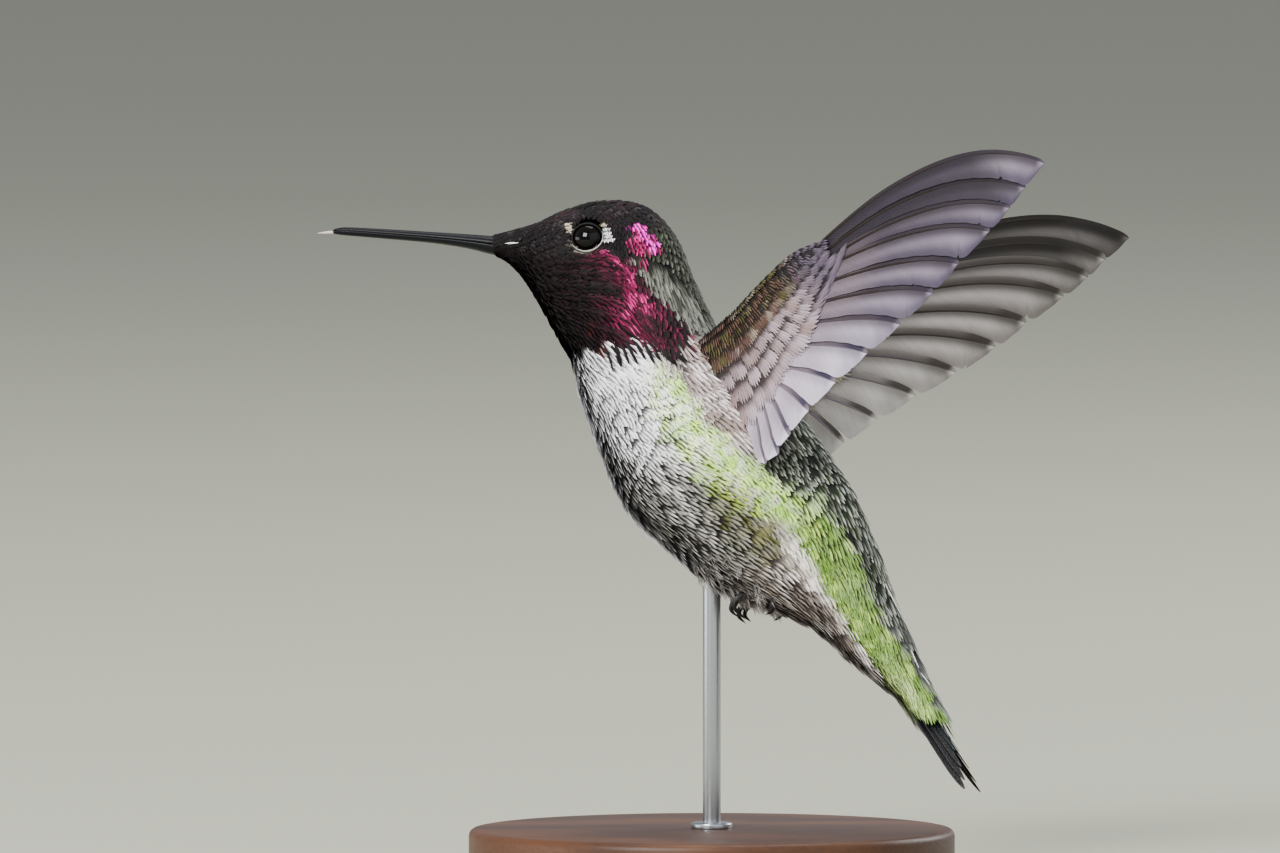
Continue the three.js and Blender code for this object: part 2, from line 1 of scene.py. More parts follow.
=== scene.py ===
"""The finished looks of a life-size male Anna's hummingbird, hovering on a plain display stand.

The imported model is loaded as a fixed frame. One skin stands for the flesh, and a coat of feathers with
real barbs lies over it. Bill, eyes, feet, flight feathers and tail feathers are pieces of their own.
Sizes are millimetres in the bird's own frame, in which it is level and symmetrical about y = 0. The
bird faces -X and its left side is -Y. Bank turns that frame onto the stand and into metres.
"""

from __future__ import annotations

import logging
import math
from dataclasses import dataclass, field, replace
from enum import Enum
from typing import Callable, Sequence

import bpy
import numpy as np
from mathutils import Matrix, Vector
from mathutils.kdtree import KDTree


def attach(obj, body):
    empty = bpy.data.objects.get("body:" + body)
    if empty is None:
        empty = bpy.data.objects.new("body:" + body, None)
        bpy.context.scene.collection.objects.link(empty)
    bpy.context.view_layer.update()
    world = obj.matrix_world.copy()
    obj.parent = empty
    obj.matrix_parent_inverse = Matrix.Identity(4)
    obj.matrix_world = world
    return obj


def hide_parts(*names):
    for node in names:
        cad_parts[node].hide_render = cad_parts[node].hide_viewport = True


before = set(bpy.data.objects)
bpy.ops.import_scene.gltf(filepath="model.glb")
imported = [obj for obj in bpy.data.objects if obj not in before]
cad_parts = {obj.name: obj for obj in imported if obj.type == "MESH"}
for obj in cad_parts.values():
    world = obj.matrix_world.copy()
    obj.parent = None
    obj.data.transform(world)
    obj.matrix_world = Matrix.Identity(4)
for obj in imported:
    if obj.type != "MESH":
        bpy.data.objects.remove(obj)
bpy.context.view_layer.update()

LOG = logging.getLogger("hummingbird")
MM = 0.001
BODY = "root"
Array = np.ndarray
Number = float | Array
Pair = tuple[float, float]
Triple = tuple[float, float, float]
Values = tuple[float, ...]
Tone = Array | Triple | str
Piece = bpy.types.Object
Finish = bpy.types.Material


class Side(Enum):
    """The bird's two sides, each with its sign along Y."""

    LEFT = -1
    RIGHT = 1

    @property
    def word(self) -> str:
        """The side as names spell it."""
        return self.name.lower()

    def mirrored(self, point: Sequence[float]) -> Array:
        """A point of the right side, brought to this side."""
        return np.array(point) * (1, self.value, 1)


# ---- Numbers and colours ----


def smooth(value: Number, low: Number, high: Number) -> Array:
    """A soft step that is 0 below low and 1 above high, or the other way round if high is the less."""
    share = np.clip((value - low) / (high - low), 0.0, 1.0)
    return share * share * (3.0 - 2.0 * share)


def window(value: Number, low: Number, start: Number, end: Number, high: Number) -> Array:
    """A soft window that is 0 below low and above high, and 1 from start to end."""
    return smooth(value, low, start) * smooth(value, high, end)


def signed_power(value: Array, power: float) -> Array:
    """A value's power that keeps its sign."""
    return np.sign(value) * np.abs(value) ** power


def unit(vectors: Array) -> Array:
    """Vectors brought to length 1."""
    return vectors / np.maximum(np.linalg.norm(vectors, axis=-1, keepdims=True), 1e-9)


def dot(first: Array, second: Array) -> Array:
    """The scalar products of rows."""
    return np.sum(first * second, axis=-1)


def tuples(points: Array) -> tuple[Triple, ...]:
    """Points as a tuple of tuples."""
    return tuple(map(tuple, points))


def linear(code: str) -> Triple:
    """A colour's linear values from its six-digit hexadecimal code."""
    shares = [int(code[place:place + 2], 16) / 255 for place in (0, 2, 4)]
    return tuple(s / 12.92 if s <= 0.04045 else ((s + 0.055) / 1.055) ** 2.4 for s in shares)


def blended(first: Tone, second: Tone, share: Array) -> Array:
    """Rows of colours mixed with others, given as values or codes, by a share for each row."""
    first, second = (np.asarray(linear(tone) if isinstance(tone, str) else tone) for tone in (first, second))
    return first + (second - first) * share[..., None]


def coloured(values: Array) -> Array:
    """Colours as flat rows of four values, of which the last is 1."""
    rows = values.reshape(-1, 3)
    return np.concatenate([rows, np.ones((len(rows), 1))], axis=1)


def catmull_rom(stations: Array, place: Array) -> Array:
    """Values between evenly spaced stations, on a uniform Catmull-Rom curve.

    Args:
        stations: One row of values for each station.
        place: Where to read, counted in stations; it may lie a little past either end.

    Returns:
        One row of values for each place.
    """
    ends = np.vstack([2 * stations[0] - stations[1], stations, 2 * stations[-1] - stations[-2]])
    start = np.clip(np.floor(place).astype(int), 0, len(stations) - 2)
    t = (place - start)[..., None]
    a, b, c, d = (ends[start + step] for step in range(4))
    return b + 0.5 * t * ((c - a) + t * ((2 * a - 5 * b + 4 * c - d) + t * (3 * (b - c) + d - a)))


def ripple(points: Array, size: float, seed: int, waves: int = 7) -> Array:
    """A smooth random field from about -1 to 1, as a few waves that cross each other.

    Args:
        points: Where to read it.
        size: The length of a wave.
        seed: What makes one field different from another.
        waves: How many waves cross.

    Returns:
        One number for each point.
    """
    rng = np.random.default_rng(seed)
    ways = unit(rng.normal(size=(waves, points.shape[-1]))) * rng.uniform(0.7, 1.4, (waves, 1))
    phases = rng.uniform(0, 2 * math.pi, waves)
    return np.cos(points @ ways.T * (2 * math.pi / size) + phases).sum(axis=-1) / math.sqrt(waves)


# ---- Frames and surfaces ----


@dataclass(frozen=True)
class Bank:
    """How the level bird is turned on its stand, left side up."""

    degrees: float = -10.1
    axis_height: float = 36.0

    def place(self, points: Array) -> Array:
        """Points of the level bird in millimetres, as points of the model in metres."""
        cos, sin = math.cos(math.radians(self.degrees)), math.sin(math.radians(self.degrees))
        axis = np.array([0.0, 0.0, self.axis_height])
        turn = np.array([[1, 0, 0], [0, cos, sin], [0, -sin, cos]])
        return ((np.asarray(points) - axis) @ turn + axis) * MM


BANK = Bank()


@dataclass
class Surface:
    """A surface that feathers lie on, read by two numbers: one along the lie and one round it."""

    nudge: float = 0.01

    def point(self, along: Array, across: Array) -> Array:
        """The surface's points at pairs of its two numbers."""
        raise NotImplementedError

    def tangents(self, along: Array, across: Array) -> tuple[Array, Array]:
        """How the point moves with each of the two numbers."""
        step = self.nudge
        by_along = self.point(along + step, across) - self.point(along - step, across)
        by_across = self.point(along, across + step) - self.point(along, across - step)
        return by_along / (2 * step), by_across / (2 * step)

    def outward(self, by_along: Array, by_across: Array) -> Array:
        """The unit normal that points away from the flesh."""
        return unit(np.cross(by_along, by_across))

    def lie(self, along: Array, across: Array) -> tuple[Array, Array, Array]:
        """Unit vectors along the lie, beside it and out of the surface."""
        by_along, by_across = self.tangents(along, across)
        flow, out = unit(by_along), self.outward(by_along, by_across)
        return flow, np.cross(out, flow), out

    def flat(self, along: Array, across: Array) -> Array:
        """The place of a point on the flat map for baking, from 0 to 1 both ways."""
        raise NotImplementedError


@dataclass
class BodyShape(Surface):
    """The body from the base of the bill to the end of the tail coverts, read by station and angle.

    Angle 0 is the back, a quarter turn is the right side and half a turn is the keel. A station gives
    the back's x and z, the keel's x and z, and half the width. Past the last station the same numbers
    go on by the trail's.
    """

    stations: tuple[Values, ...] = (
        (-25.6, 71.0, -25.4, 68.8, 1.3), (-23.5, 71.5, -24.0, 68.1, 2.0), (-20.4, 72.4, -22.5, 66.8, 3.5),
        (-17.1, 73.9, -21.0, 64.8, 4.9), (-13.0, 74.9, -19.5, 62.4, 5.9), (-8.5, 74.3, -17.9, 59.6, 6.6),
        (-5.1, 71.1, -16.2, 56.7, 7.2), (-3.0, 66.5, -15.1, 52.8, 7.6), (0.2, 60.4, -13.2, 47.9, 8.4),
        (4.9, 55.6, -11.0, 42.7, 9.4), (8.9, 51.7, -8.4, 38.8, 9.8), (13.0, 46.4, -3.5, 34.6, 9.4),
        (15.6, 42.6, 0.5, 31.7, 8.6), (17.5, 38.6, 4.6, 30.0, 7.4), (19.4, 34.1, 8.7, 28.6, 6.0),
        (20.9, 30.0, 12.4, 26.6, 4.9), (22.6, 26.4, 15.7, 23.7, 4.1), (23.9, 23.4, 18.7, 21.3, 3.5),
        (25.3, 20.6, 21.2, 19.4, 2.9),
    )
    roundness: float = 2.2
    low_fullness: float = 0.07
    trail: Values = (1.4, -2.5, 1.8, -2.35, -0.3)

    @property
    def end(self) -> float:
        """The last station."""
        return len(self.stations) - 1.0

    def point(self, along: Array, across: Array) -> Array:
        """The surface's points at pairs of station and angle."""
        inside = np.minimum(along, self.end)
        beyond = (along - inside)[..., None] * np.array(self.trail)
        rows = catmull_rom(np.array(self.stations), inside) + beyond
        back_x, back_z, keel_x, keel_z, half_width = np.moveaxis(rows, -1, 0)
        rise = signed_power(np.cos(across), 2 / self.roundness)
        reach = signed_power(np.sin(across), 2 / self.roundness)
        x = (back_x + keel_x) / 2 + (back_x - keel_x) / 2 * rise
        z = (back_z + keel_z) / 2 + (back_z - keel_z) / 2 * rise
        return np.stack([x, half_width * (1 - self.low_fullness * rise) * reach, z], axis=-1)

    def flat(self, along: Array, across: Array) -> Array:
        """The place of a point on the flat map for baking, from 0 to 1 both ways."""
        return np.stack([across / (2 * math.pi) % 1.0, 0.01 + 0.98 * along / self.end], axis=-1)

    @staticmethod
    def fall(across: Array) -> Array:
        """How far round from the back an angle is: 0 at the back and 1 at the keel, on both sides."""
        return np.abs((across + math.pi) % (2 * math.pi) - math.pi) / math.pi

    def path(self, stations: Pair, falls: Pair, side: Side,
             height: float) -> tuple[Triple, ...]:
        """A path of seven points over one side, at a height off it, between two stations and two falls."""
        along, across = np.linspace(*stations, 7), side.value * np.linspace(*falls, 7) * math.pi
        return tuples(self.point(along, across) + self.lie(along, across)[2] * height)


# ---- Building meshes ----


def paint_layer(mesh: bpy.types.Mesh, name: str, values: Array) -> None:
    """Stores one value for each point of a mesh.

    Args:
        mesh: The mesh to paint.
        name: The attribute's name.
        values: A number, a vector or a colour of four values for each point.
    """
    kinds = {1: ("FLOAT", "value"), 3: ("FLOAT_VECTOR", "vector"), 4: ("FLOAT_COLOR", "color")}
    kind, key = kinds[1 if values.ndim == 1 else values.shape[1]]
    layer = mesh.attributes.new(name=name, type=kind, domain="POINT")
    layer.data.foreach_set(key, values.astype(np.float32).ravel())


@dataclass
class Batch:
    """Points, faces and paint that will be one mesh."""

    points: list[Array] = field(default_factory=list)
    faces: list[Array] = field(default_factory=list)
    layers: dict[str, list[Array]] = field(default_factory=dict)
    unwrap: list[Array] = field(default_factory=list)
    count: int = 0

    def add(self, points: Array, faces: Array, unwrap: Array, **layers: Array) -> None:
        """Adds a mesh.

        Args:
            points: One row for each point, in the level bird's millimetres.
            faces: Rows of four corner numbers.
            unwrap: The place of each point on the flat map for baking.
            layers: Values of each point by the name of their attribute.
        """
        self.points.append(points)
        self.faces.append(faces + self.count)
        self.unwrap.append(unwrap)
        self.count += len(points)
        for name, values in layers.items():
            self.layers.setdefault(name, []).append(values)

    def build(self, name: str) -> Piece:
        """Makes the one mesh object, banked and in metres."""
        points = BANK.place(np.concatenate(self.points))
        faces = np.concatenate(self.faces)
        mesh = bpy.data.meshes.new(name)
        mesh.vertices.add(len(points))
        mesh.vertices.foreach_set("co", points.astype(np.float32).ravel())
        mesh.loops.add(faces.size)
        mesh.loops.foreach_set("vertex_index", faces.astype(np.int32).ravel())
        mesh.polygons.add(len(faces))
        mesh.polygons.foreach_set("loop_start", np.arange(0, faces.size, 4, dtype=np.int32))
        mesh.update(calc_edges=True)
        mesh.validate()
        for layer, parts in self.layers.items():
            paint_layer(mesh, layer, np.concatenate(parts))
        corners = np.empty(len(mesh.loops), dtype=np.int32)
        mesh.loops.foreach_get("vertex_index", corners)
        flat = np.concatenate(self.unwrap)[corners]
        mesh.uv_layers.new(name="OFBake").data.foreach_set("uv", flat.astype(np.float32).ravel())
        piece = bpy.data.objects.new(name, mesh)
        bpy.context.scene.collection.objects.link(piece)
        return piece


def grid_faces(rows: int, columns: int) -> Array:
    """The faces of a grid of points, four corners to a face."""
    corner = (np.arange(rows - 1)[:, None] * columns + np.arange(columns - 1)[None]).ravel()
    return np.stack([corner, corner + 1, corner + columns + 1, corner + columns], axis=1)


def facing(points: Array, faces: Array, direction: Array) -> Array:
    """Faces whose corners run so that most of them face a direction."""
    a, b, c = (points[faces[:, place]] for place in (0, 1, 2))
    return faces if np.median(np.cross(b - a, c - a) @ direction) > 0 else faces[:, ::-1]


# ---- Small feathers ----


@dataclass
class Plan:
    """A small mesh that is repeated: points, faces, and what each point is for.

    Attributes:
        points: Across, along and out, with the half width and the length both 1.
        faces: Corner numbers, four to a face.
        barb: A number for the barb that each point belongs to.
        edge: 1 on one edge of a barb, -1 on the other and 0 in the down; it sets which edge is painted lit
            and which shaded.
    """

    points: Array
    faces: Array
    barb: Array
    edge: Array


@dataclass(frozen=True)
class Cut:
    """The cut of one kind of small feather: a sheet of down at its root and a fan of separate barbs.

    Widths are shares of half the feather's width, and lengths are shares of its length.
    """

    barbs: int = 5
    slenderness: float = 2.6
    fullness: float = 0.66
    rounding: float = 0.42
    sweep: float = 0.75
    dome: float = 0.16
    twist: float = 0.35
    ragged: float = 0.05
    variety: float = 0.3
    # How much lighter one edge of each barb is painted than the other, as painted side light and shade.
    relief: float = 1.0
    steps: int = 4
    down_end: float = 0.5
    down_depth: float = 0.12

    def plan(self, seed: int) -> Plan:
        """Works out the feather's mesh, with its root at the origin.

        Args:
            seed: What makes one feather's barbs different from another's.

        Returns:
            The mesh.
        """
        rng = np.random.default_rng(seed)
        turns = (np.arange(self.barbs) + 0.55) / (self.barbs + 0.55) * math.pi / 2
        turns = np.concatenate([turns, [math.pi / 2], math.pi - turns[::-1]])
        outline = math.pi / 2 * math.hypot(1, self.rounding * self.slenderness) / math.sqrt(2)
        half = 0.5 * self.fullness * outline / (self.barbs + 0.55)
        share = np.linspace(0, 1, self.steps + 1)[:, None]
        widths = half * np.interp(share[:, 0], [0, 0.4, 0.75, 0.9, 1], [0.5, 1.0, 0.95, 0.7, 0.1])
        points, faces, barb, edges = [], [], [], []
        for number, turn in enumerate(turns):
            reach = 1 + rng.normal(0, self.ragged)
            end = np.array([math.cos(turn), 1 - self.rounding + self.rounding * math.sin(turn) * reach])
            end[0] += rng.normal(0, self.ragged * 0.6)
            root = np.array([0.25 * end[0], end[1] - self.sweep])
            bend = np.array([end[0] * 0.85, root[1] + 0.4 * (end[1] - root[1])])
            line = (1 - share) ** 2 * root + 2 * share * (1 - share) * bend + share ** 2 * end
            real = line * (1, self.slenderness)
            way = unit(np.gradient(real, axis=0))
            side = np.stack([way[:, 1], -way[:, 0]], axis=1)
            slope = self.twist * rng.normal(1.0, 0.5)
            for sign in (-1, 1):
                edge = real + side * (sign * widths[:, None])
                height = sign * slope * widths - self.dome * edge[:, 0] ** 2
                points.append(np.column_stack([edge[:, 0], edge[:, 1] / self.slenderness, height]))
                edges.append(np.full(self.steps + 1, sign))
            first = 2 * (self.steps + 1) * number
            corner = first + np.arange(self.steps)
            right = corner + self.steps + 1
            faces.append(np.stack([corner, corner + 1, right + 1, right], axis=1))
            barb.append(np.full(2 * (self.steps + 1), number + 1))
        down = self._down()
        sheet = np.array([[0, 3, 4, 1], [1, 4, 5, 2], [3, 6, 7, 4], [4, 7, 8, 5]])
        faces.append(sheet + 2 * (self.steps + 1) * len(turns))
        points.append(down)
        barb.append(np.zeros(len(down), dtype=int))
        edges.append(np.zeros(len(down)))
        return Plan(*map(np.concatenate, (points, faces, barb, edges)))

    def _down(self) -> Array:
        """The three rows of three points of the sheet of down, under the barbs."""
        across, along = np.meshgrid([-0.85, 0.0, 0.85], [0.0, self.down_end / 2, self.down_end])
        x = (across * np.interp(along, [0, self.down_end / 2, self.down_end], [0.5, 1.0, 0.9])).ravel()
        return np.column_stack([x, along.ravel(), -self.dome * x ** 2 - self.down_depth])


class Table:
    """What dataclasses share whose fields are arrays with a row for each feather."""

    def rows(self, chosen: Array) -> "Table":
        """The same table of some of the feathers."""
        return type(self)(**{name: values[chosen] for name, values in vars(self).items()})


@dataclass
class Paint(Table):
    """The colours of many feathers, a row for each.

    Attributes:
        centre: The colour along the middle.
        fringe: The colour of the barbs' ends.
        gloss: How metallic the sheen is, from 0 to 1; it also sets how strong the painted glints on the barbs
            are.
        edge: How wide the fringe is, from 0 to 1.
    """

    centre: Array
    fringe: Array
    gloss: Array
    edge: Array

    def lay(self, cover: Array, centre: Tone | None = None, fringe: Tone | None = None,
            gloss: float | None = None, edge: float | Array | None = None) -> None:
        """Lays other paint over this, by a share for each feather.

        Args:
            cover: How much of it covers each feather.
            centre: Its own centre colour; as with the others, what isn't given stays as it is.
            fringe: Its fringe colour.
            gloss: Its gloss.
            edge: Its edge.
        """
        self.centre = self.centre if centre is None else blended(self.centre, centre, cover)
        self.fringe = self.fringe if fringe is None else blended(self.fringe, fringe, cover)
        self.gloss = self.gloss if gloss is None else self.gloss * (1 - cover) + gloss * cover
        self.edge = self.edge if edge is None else self.edge * (1 - cover) + edge * cover


@dataclass
class Feathers(Table):
    """Many small feathers of one cut on one surface, a row for each.

    Attributes:
        along: The surface's first number at the root.
        across: Its second number there.
        half_width: Half the width, in millimetres.
        length: The length.
        lie: How far the feather is turned from the surface's own lie, in radians.
        lift: How far its tip stands off the surface.
        depth: How far its root lies under the surface.
    """

    along: Array
    across: Array
    half_width: Array
    length: Array
    lie: Array
    lift: Array
    depth: Array

    def draped(self, surface: Surface, plan: Plan) -> Array:
        """Lays each feather along the surface.

        Args:
            surface: What the feathers lie on.
            plan: The mesh of one feather.

        Returns:
            The points of all the feathers, feather by feather.
        """
        by_along, by_across = surface.tangents(self.along, self.across)
        flow, side, _ = surface.lie(self.along, self.across)
        cos, sin = np.cos(self.lie)[:, None], np.sin(self.lie)[:, None]
        forward, sideways = cos * flow + sin * side, cos * side - sin * flow
        place = plan.points[None, :, 1]
        x, y = plan.points[None, :, 0] * self.half_width[:, None], place * self.length[:, None]
        step = x[..., None] * sideways[:, None] + y[..., None] * forward[:, None]
        a, b = by_along[:, None], by_across[:, None]
        aa, ab, bb, sa, sb = dot(a, a), dot(a, b), dot(b, b), dot(step, a), dot(step, b)
        spread = aa * bb - ab * ab
        along = self.along[:, None] + (bb * sa - ab * sb) / spread
        across = self.across[:, None] + (aa * sb - ab * sa) / spread
        height = plan.points[None, :, 2] * self.half_width[:, None]
        height = height - self.depth[:, None] * (1 - place) ** 2 + self.lift[:, None] * place ** 2
        normal = surface.outward(*surface.tangents(along, across))
        return (surface.point(along, across) + normal * height[..., None]).reshape(-1, 3)


@dataclass
class Coat:
    """Small feathers laid on one surface, gathered into named pieces."""

    surface: Surface
    seed: int
    variants: int = 4
    patch: float = 0.003
    down_shade: float = 0.3
    batches: dict[str, Batch] = field(default_factory=dict)

    def lay(self, name: str, feathers: Feathers, paint: Paint, cut: Cut) -> None:
        """Adds feathers to a piece.

        Args:
            name: The piece.
            feathers: Their roots and sizes.
            paint: Their colours.
            cut: Their cut.
        """
        batch = self.batches.setdefault(name, Batch())
        rng = np.random.default_rng(self.seed)
        kind = rng.integers(self.variants, size=len(feathers.along))
        for variant in range(self.variants):
            chosen = kind == variant
            if not chosen.any():
                continue
            some, colours = feathers.rows(chosen), paint.rows(chosen)
            plan = cut.plan(self.seed * 97 + variant)
            count, size = int(chosen.sum()), len(plan.points)
            faces = (plan.faces[None] + (np.arange(count) * size)[:, None, None]).reshape(-1, 4)
            flat = np.repeat(self.surface.flat(some.along, some.across), size, axis=0)
            shift = np.tile(plan.points[:, :2] * (0.5, 1) - (0, 0.5), (count, 1)) * self.patch
            batch.add(
                some.draped(self.surface, plan), faces, flat + shift, vane=self._vane(plan, count, cut, rng),
                centre=coloured(np.repeat(colours.centre, size, axis=0)),
                fringe=coloured(np.repeat(colours.fringe, size, axis=0)),
                gloss=np.repeat(colours.gloss, size), edge=np.repeat(colours.edge, size),
            )

    def _vane(self, plan: Plan, count: int, cut: Cut, rng: np.random.Generator) -> Array:
        """The place of each point on its feather.

        Args:
            plan: The mesh of one feather.
            count: How many feathers there are.
            cut: Their cut.
            rng: What shades the barbs.

        Returns:
            Across, along, and the shade of the barb there, a row for each point of all the feathers: a random
            tone for each barb, painted lighter on one edge and darker on the other, and a low painted shade
            on the down.
        """
        shades = 0.5 + cut.variety * rng.uniform(-0.5, 0.5, (count, plan.barb.max() + 1))[:, plan.barb]
        # One edge of each barb is painted lit and the other shaded; the down gets a painted shade.
        shades = np.where(plan.barb[None] == 0, self.down_shade, shades + cut.relief / 2 * plan.edge)
        places = np.broadcast_to(plan.points[None, :, :2], (count, len(plan.points), 2))
        return np.concatenate([places, shades[..., None]], axis=-1).reshape(-1, 3)


@dataclass(frozen=True)
class Rows:
    """How feathers stand in staggered rows over a part of a surface.

    Attributes:
        surface: What they stand on.
        along: The range of the surface's first number.
        across: The range of its second number.
        exposure: The distance between rows at pairs of the two numbers.
        spacing: The distance between feathers of a row.
        fineness: How many steps each way the surface is measured in.
    """

    surface: Surface
    along: Pair
    across: Pair
    exposure: Callable[[Array, Array], Array]
    spacing: Callable[[Array, Array], Array]
    fineness: int = 420

    def roots(self) -> tuple[Array, Array]:
        """The surface's two numbers at each root."""
        along, across = (np.linspace(*ends, self.fineness) for ends in (self.along, self.across))
        a, b = np.meshgrid(along, across, indexing="ij")
        runs = np.linalg.norm(np.diff(self.surface.point(a, b), axis=0), axis=-1) / self.exposure(a, b)[1:]
        rank = np.vstack([np.zeros(len(across)), np.cumsum(runs, axis=0)])
        ranks = np.arange(0.5, rank.max(), 1.0)
        lines = np.stack([np.interp(ranks, column, along, right=np.nan) for column in rank.T], axis=1)
        found: list[Array] = []
        for number, line in enumerate(lines):
            held = ~np.isnan(line)
            if held.sum() < 3:
                continue
            u, v = line[held], across[held]
            gaps = np.linalg.norm(np.diff(self.surface.point(u, v), axis=0), axis=-1)
            count = np.concatenate([[0], np.cumsum(gaps / self.spacing(u, v)[1:])])
            places = np.arange(0.25 + 0.5 * (number % 2), count[-1], 1.0)
            found.append(np.column_stack([np.interp(places, count, u), np.interp(places, count, v)]))
        return tuple(np.concatenate(found).T)


# ---- Markings ----


@dataclass(frozen=True)
class Places:
    """Where the open parts of feathers lie on the body, and what varies them, a row for each.

    Attributes:
        x: How far back.
        z: How high.
        station: The station, a little scattered.
        fall: How far round from the back, a little scattered.
        chance: A random number from 0 to 1.
        drift: A broad random field.
        fine: A fine one.
        blotch: Another fine one.
    """

    x: Array
    z: Array
    station: Array
    fall: Array
    chance: Array
    drift: Array
    fine: Array
    blotch: Array


@dataclass(frozen=True)
class Line:
    """A border drawn on the body: how far round from the back it runs at each station."""

    stations: Values
    falls: Values

    def at(self, station: Array) -> Array:
        """How far round the border is at a station."""
        return np.interp(station, self.stations, self.falls)

    def reach(self, fall: Array) -> Array:
        """At which station the border is, that far round; its falls must be in rising order."""
        return np.interp(fall, self.falls, self.stations)

    def past(self, at: Places, low: float, high: float) -> Array:
        """A soft step across the border, by how far round from it a feather is."""
        return smooth(at.fall - self.at(at.station), low, high)


@dataclass(frozen=True)
class Streak:
    """A patch in side view with round ends, from one point to another."""

    start: Pair
    end: Pair
    radius: float
    softness: float = 0.25

    def over(self, at: Places) -> Array:
        """How much of the patch covers each feather, from 0 to 1."""
        start, way = np.array(self.start), np.subtract(self.end, self.start)
        spot = np.stack([at.x, at.z], axis=-1) - start
        share = np.clip(spot @ way / max(float(way @ way), 1e-9), 0, 1)
        gap = np.linalg.norm(spot - share[..., None] * way, axis=-1)
        return smooth(gap, self.radius + self.softness, self.radius - self.softness)


@dataclass
class Markings:
    """The colours of an adult male's plumage by place on the body, the same on both sides."""

    body: BodyShape = field(default_factory=BodyShape)
    seed: int = 5
    hood_low: Line = Line(
        (8.0, 8.02, 7.98, 7.62, 7.18, 6.9, 6.83, 6.2, 6.15),
        (0.2, 0.35, 0.4, 0.46, 0.57, 0.64, 0.69, 0.87, 1.0),
    )
    gorget_high: Line = Line(
        (0.0, 1.85, 3.98, 5.08, 5.78, 6.25, 6.88, 7.38, 7.93),
        (0.5, 0.57, 0.56, 0.47, 0.39, 0.37, 0.34, 0.29, 0.22),
    )
    ear_high: Line = Line(
        (5.6, 5.9, 6.1, 6.5, 6.9, 7.28, 7.65, 8.1), (0.4, 0.36, 0.33, 0.26, 0.19, 0.14, 0.11, 0.08),
    )
    green_high: Line = Line(
        (7.8, 8.5, 9.6, 10.2, 10.65, 11.2, 11.6, 12.0, 13.4, 14.2, 15.4, 16.3, 17.4, 18.0),
        (0.47, 0.44, 0.45, 0.44, 0.43, 0.4, 0.36, 0.31, 0.28, 0.31, 0.33, 0.31, 0.29, 0.26),
    )
    green_low: Line = Line(
        (7.6, 7.95, 8.6, 9.4, 10.2, 10.85, 11.4, 11.8, 12.15, 13.25, 13.85, 14.4, 15.4, 17.2, 18.0),
        (0.48, 0.5, 0.56, 0.57, 0.57, 0.59, 0.56, 0.48, 0.455, 0.475, 0.505, 0.52, 0.56, 0.71, 0.85),
    )
    band_low: Line = Line(
        (11.7, 12.7, 13.55, 14.08, 15.0, 15.7, 16.7, 17.5, 18.0),
        (0.49, 0.5, 0.525, 0.57, 0.63, 0.68, 0.7, 0.8, 0.9),
    )
    band_share: float = 0.3
    spots_high: Line = Line((7.0, 7.8, 8.6, 9.4, 10.2, 11.0, 12.0), (0.9, 0.82, 0.74, 0.65, 0.58, 0.53, 0.5))
    vent_spots: tuple[Pair, ...] = ((13.85, 0.64), (14.83, 0.68), (15.53, 0.75), (16.35, 0.79))
    # Pink patches painted where the crown's iridescence glows, with their colours.
    pink_spots: tuple[tuple[Streak, str], ...] = (
        (Streak((-8.5, 71.3), (-6.3, 68.7), 0.72, 0.12), "e426ba"),
        (Streak((-8.5, 69.7), (-7.6, 68.3), 0.6, 0.15), "a01c5c"),
    )
    face_spots: tuple[tuple[Streak, str], ...] = (
        (Streak((-12.5, 71.5), (-11.5, 70.6), 0.5, 0.1), "ffffff"),
        (Streak((-12.2, 70.4), (-10.7, 69.9), 0.36, 0.1), "ffffff"),
        (Streak((-16.4, 71.3), (-16.0, 70.9), 0.32, 0.15), "c2b79e"),
        (Streak((-13.9, 71.95), (-12.3, 71.8), 0.26, 0.12), "b3a988"),
        (Streak((-15.2, 68.3), (-13.4, 67.8), 0.3, 0.2), "6f6962"),
    )
    # Streaks of painted glint on the gorget, each with how much rose it adds.
    gorget_lights: tuple[tuple[Streak, float], ...] = (
        (Streak((-10.1, 65.0), (-8.8, 61.6), 0.9, 1.1), 0.42),
        (Streak((-11.7, 61.2), (-9.9, 59.0), 0.8, 0.9), 0.56),
        (Streak((-13.6, 67.6), (-10.4, 66.6), 0.6, 0.9), 0.3),
    )
    eye_surround: Streak = Streak((-15.9, 69.2), (-12.9, 68.2), 0.45)

    def paint(self, along: Array, across: Array) -> Paint:
        """The colours of feathers.

        Args:
            along: The station of each one's open part.
            across: The angle of it.

        Returns:
            One row of colours for each feather.
        """
        rng = np.random.default_rng(self.seed)
        place = self.body.point(along, across)
        at = Places(
            x=place[:, 0], z=place[:, 2],
            station=along + rng.normal(0, 0.03, len(along)),
            fall=self.body.fall(across) + rng.normal(0, 0.009, len(along)),
            chance=rng.uniform(0, 1, len(along)),
            drift=ripple(place, 4.5, 21), fine=ripple(place, 1.7, 22), blotch=ripple(place, 1.9, 23),
        )
        paint = self._back(at)
        for lay in (self._underside, self._armpits, self._green, self._vent_band, self._hood, self._face):
            lay(paint, at)
        return paint

    def _back(self, at: Places) -> Paint:
        """The dark green back, whose feathers have pale fringes from the shoulders down."""
        scaled = smooth(at.station, 7.6, 9.5)
        tail = smooth(at.station, 15.0, 16.2)
        dark = blended(blended("141611", "101a10", scaled), "2c3a16", np.clip(at.drift, 0, 1) * 0.5)
        flecked = (1 - scaled) * smooth(at.chance, 0.6, 1.0) * smooth(at.station, 5.4, 6.8) * 0.3
        pale = blended(blended("34372d", "9fa39a", scaled * (0.15 + 0.85 * at.chance)), "8b8c84", flecked)
        return Paint(blended(dark, "3a3b3c", tail), pale, 0.4 - 0.25 * tail, 0.25 - 0.07 * scaled)

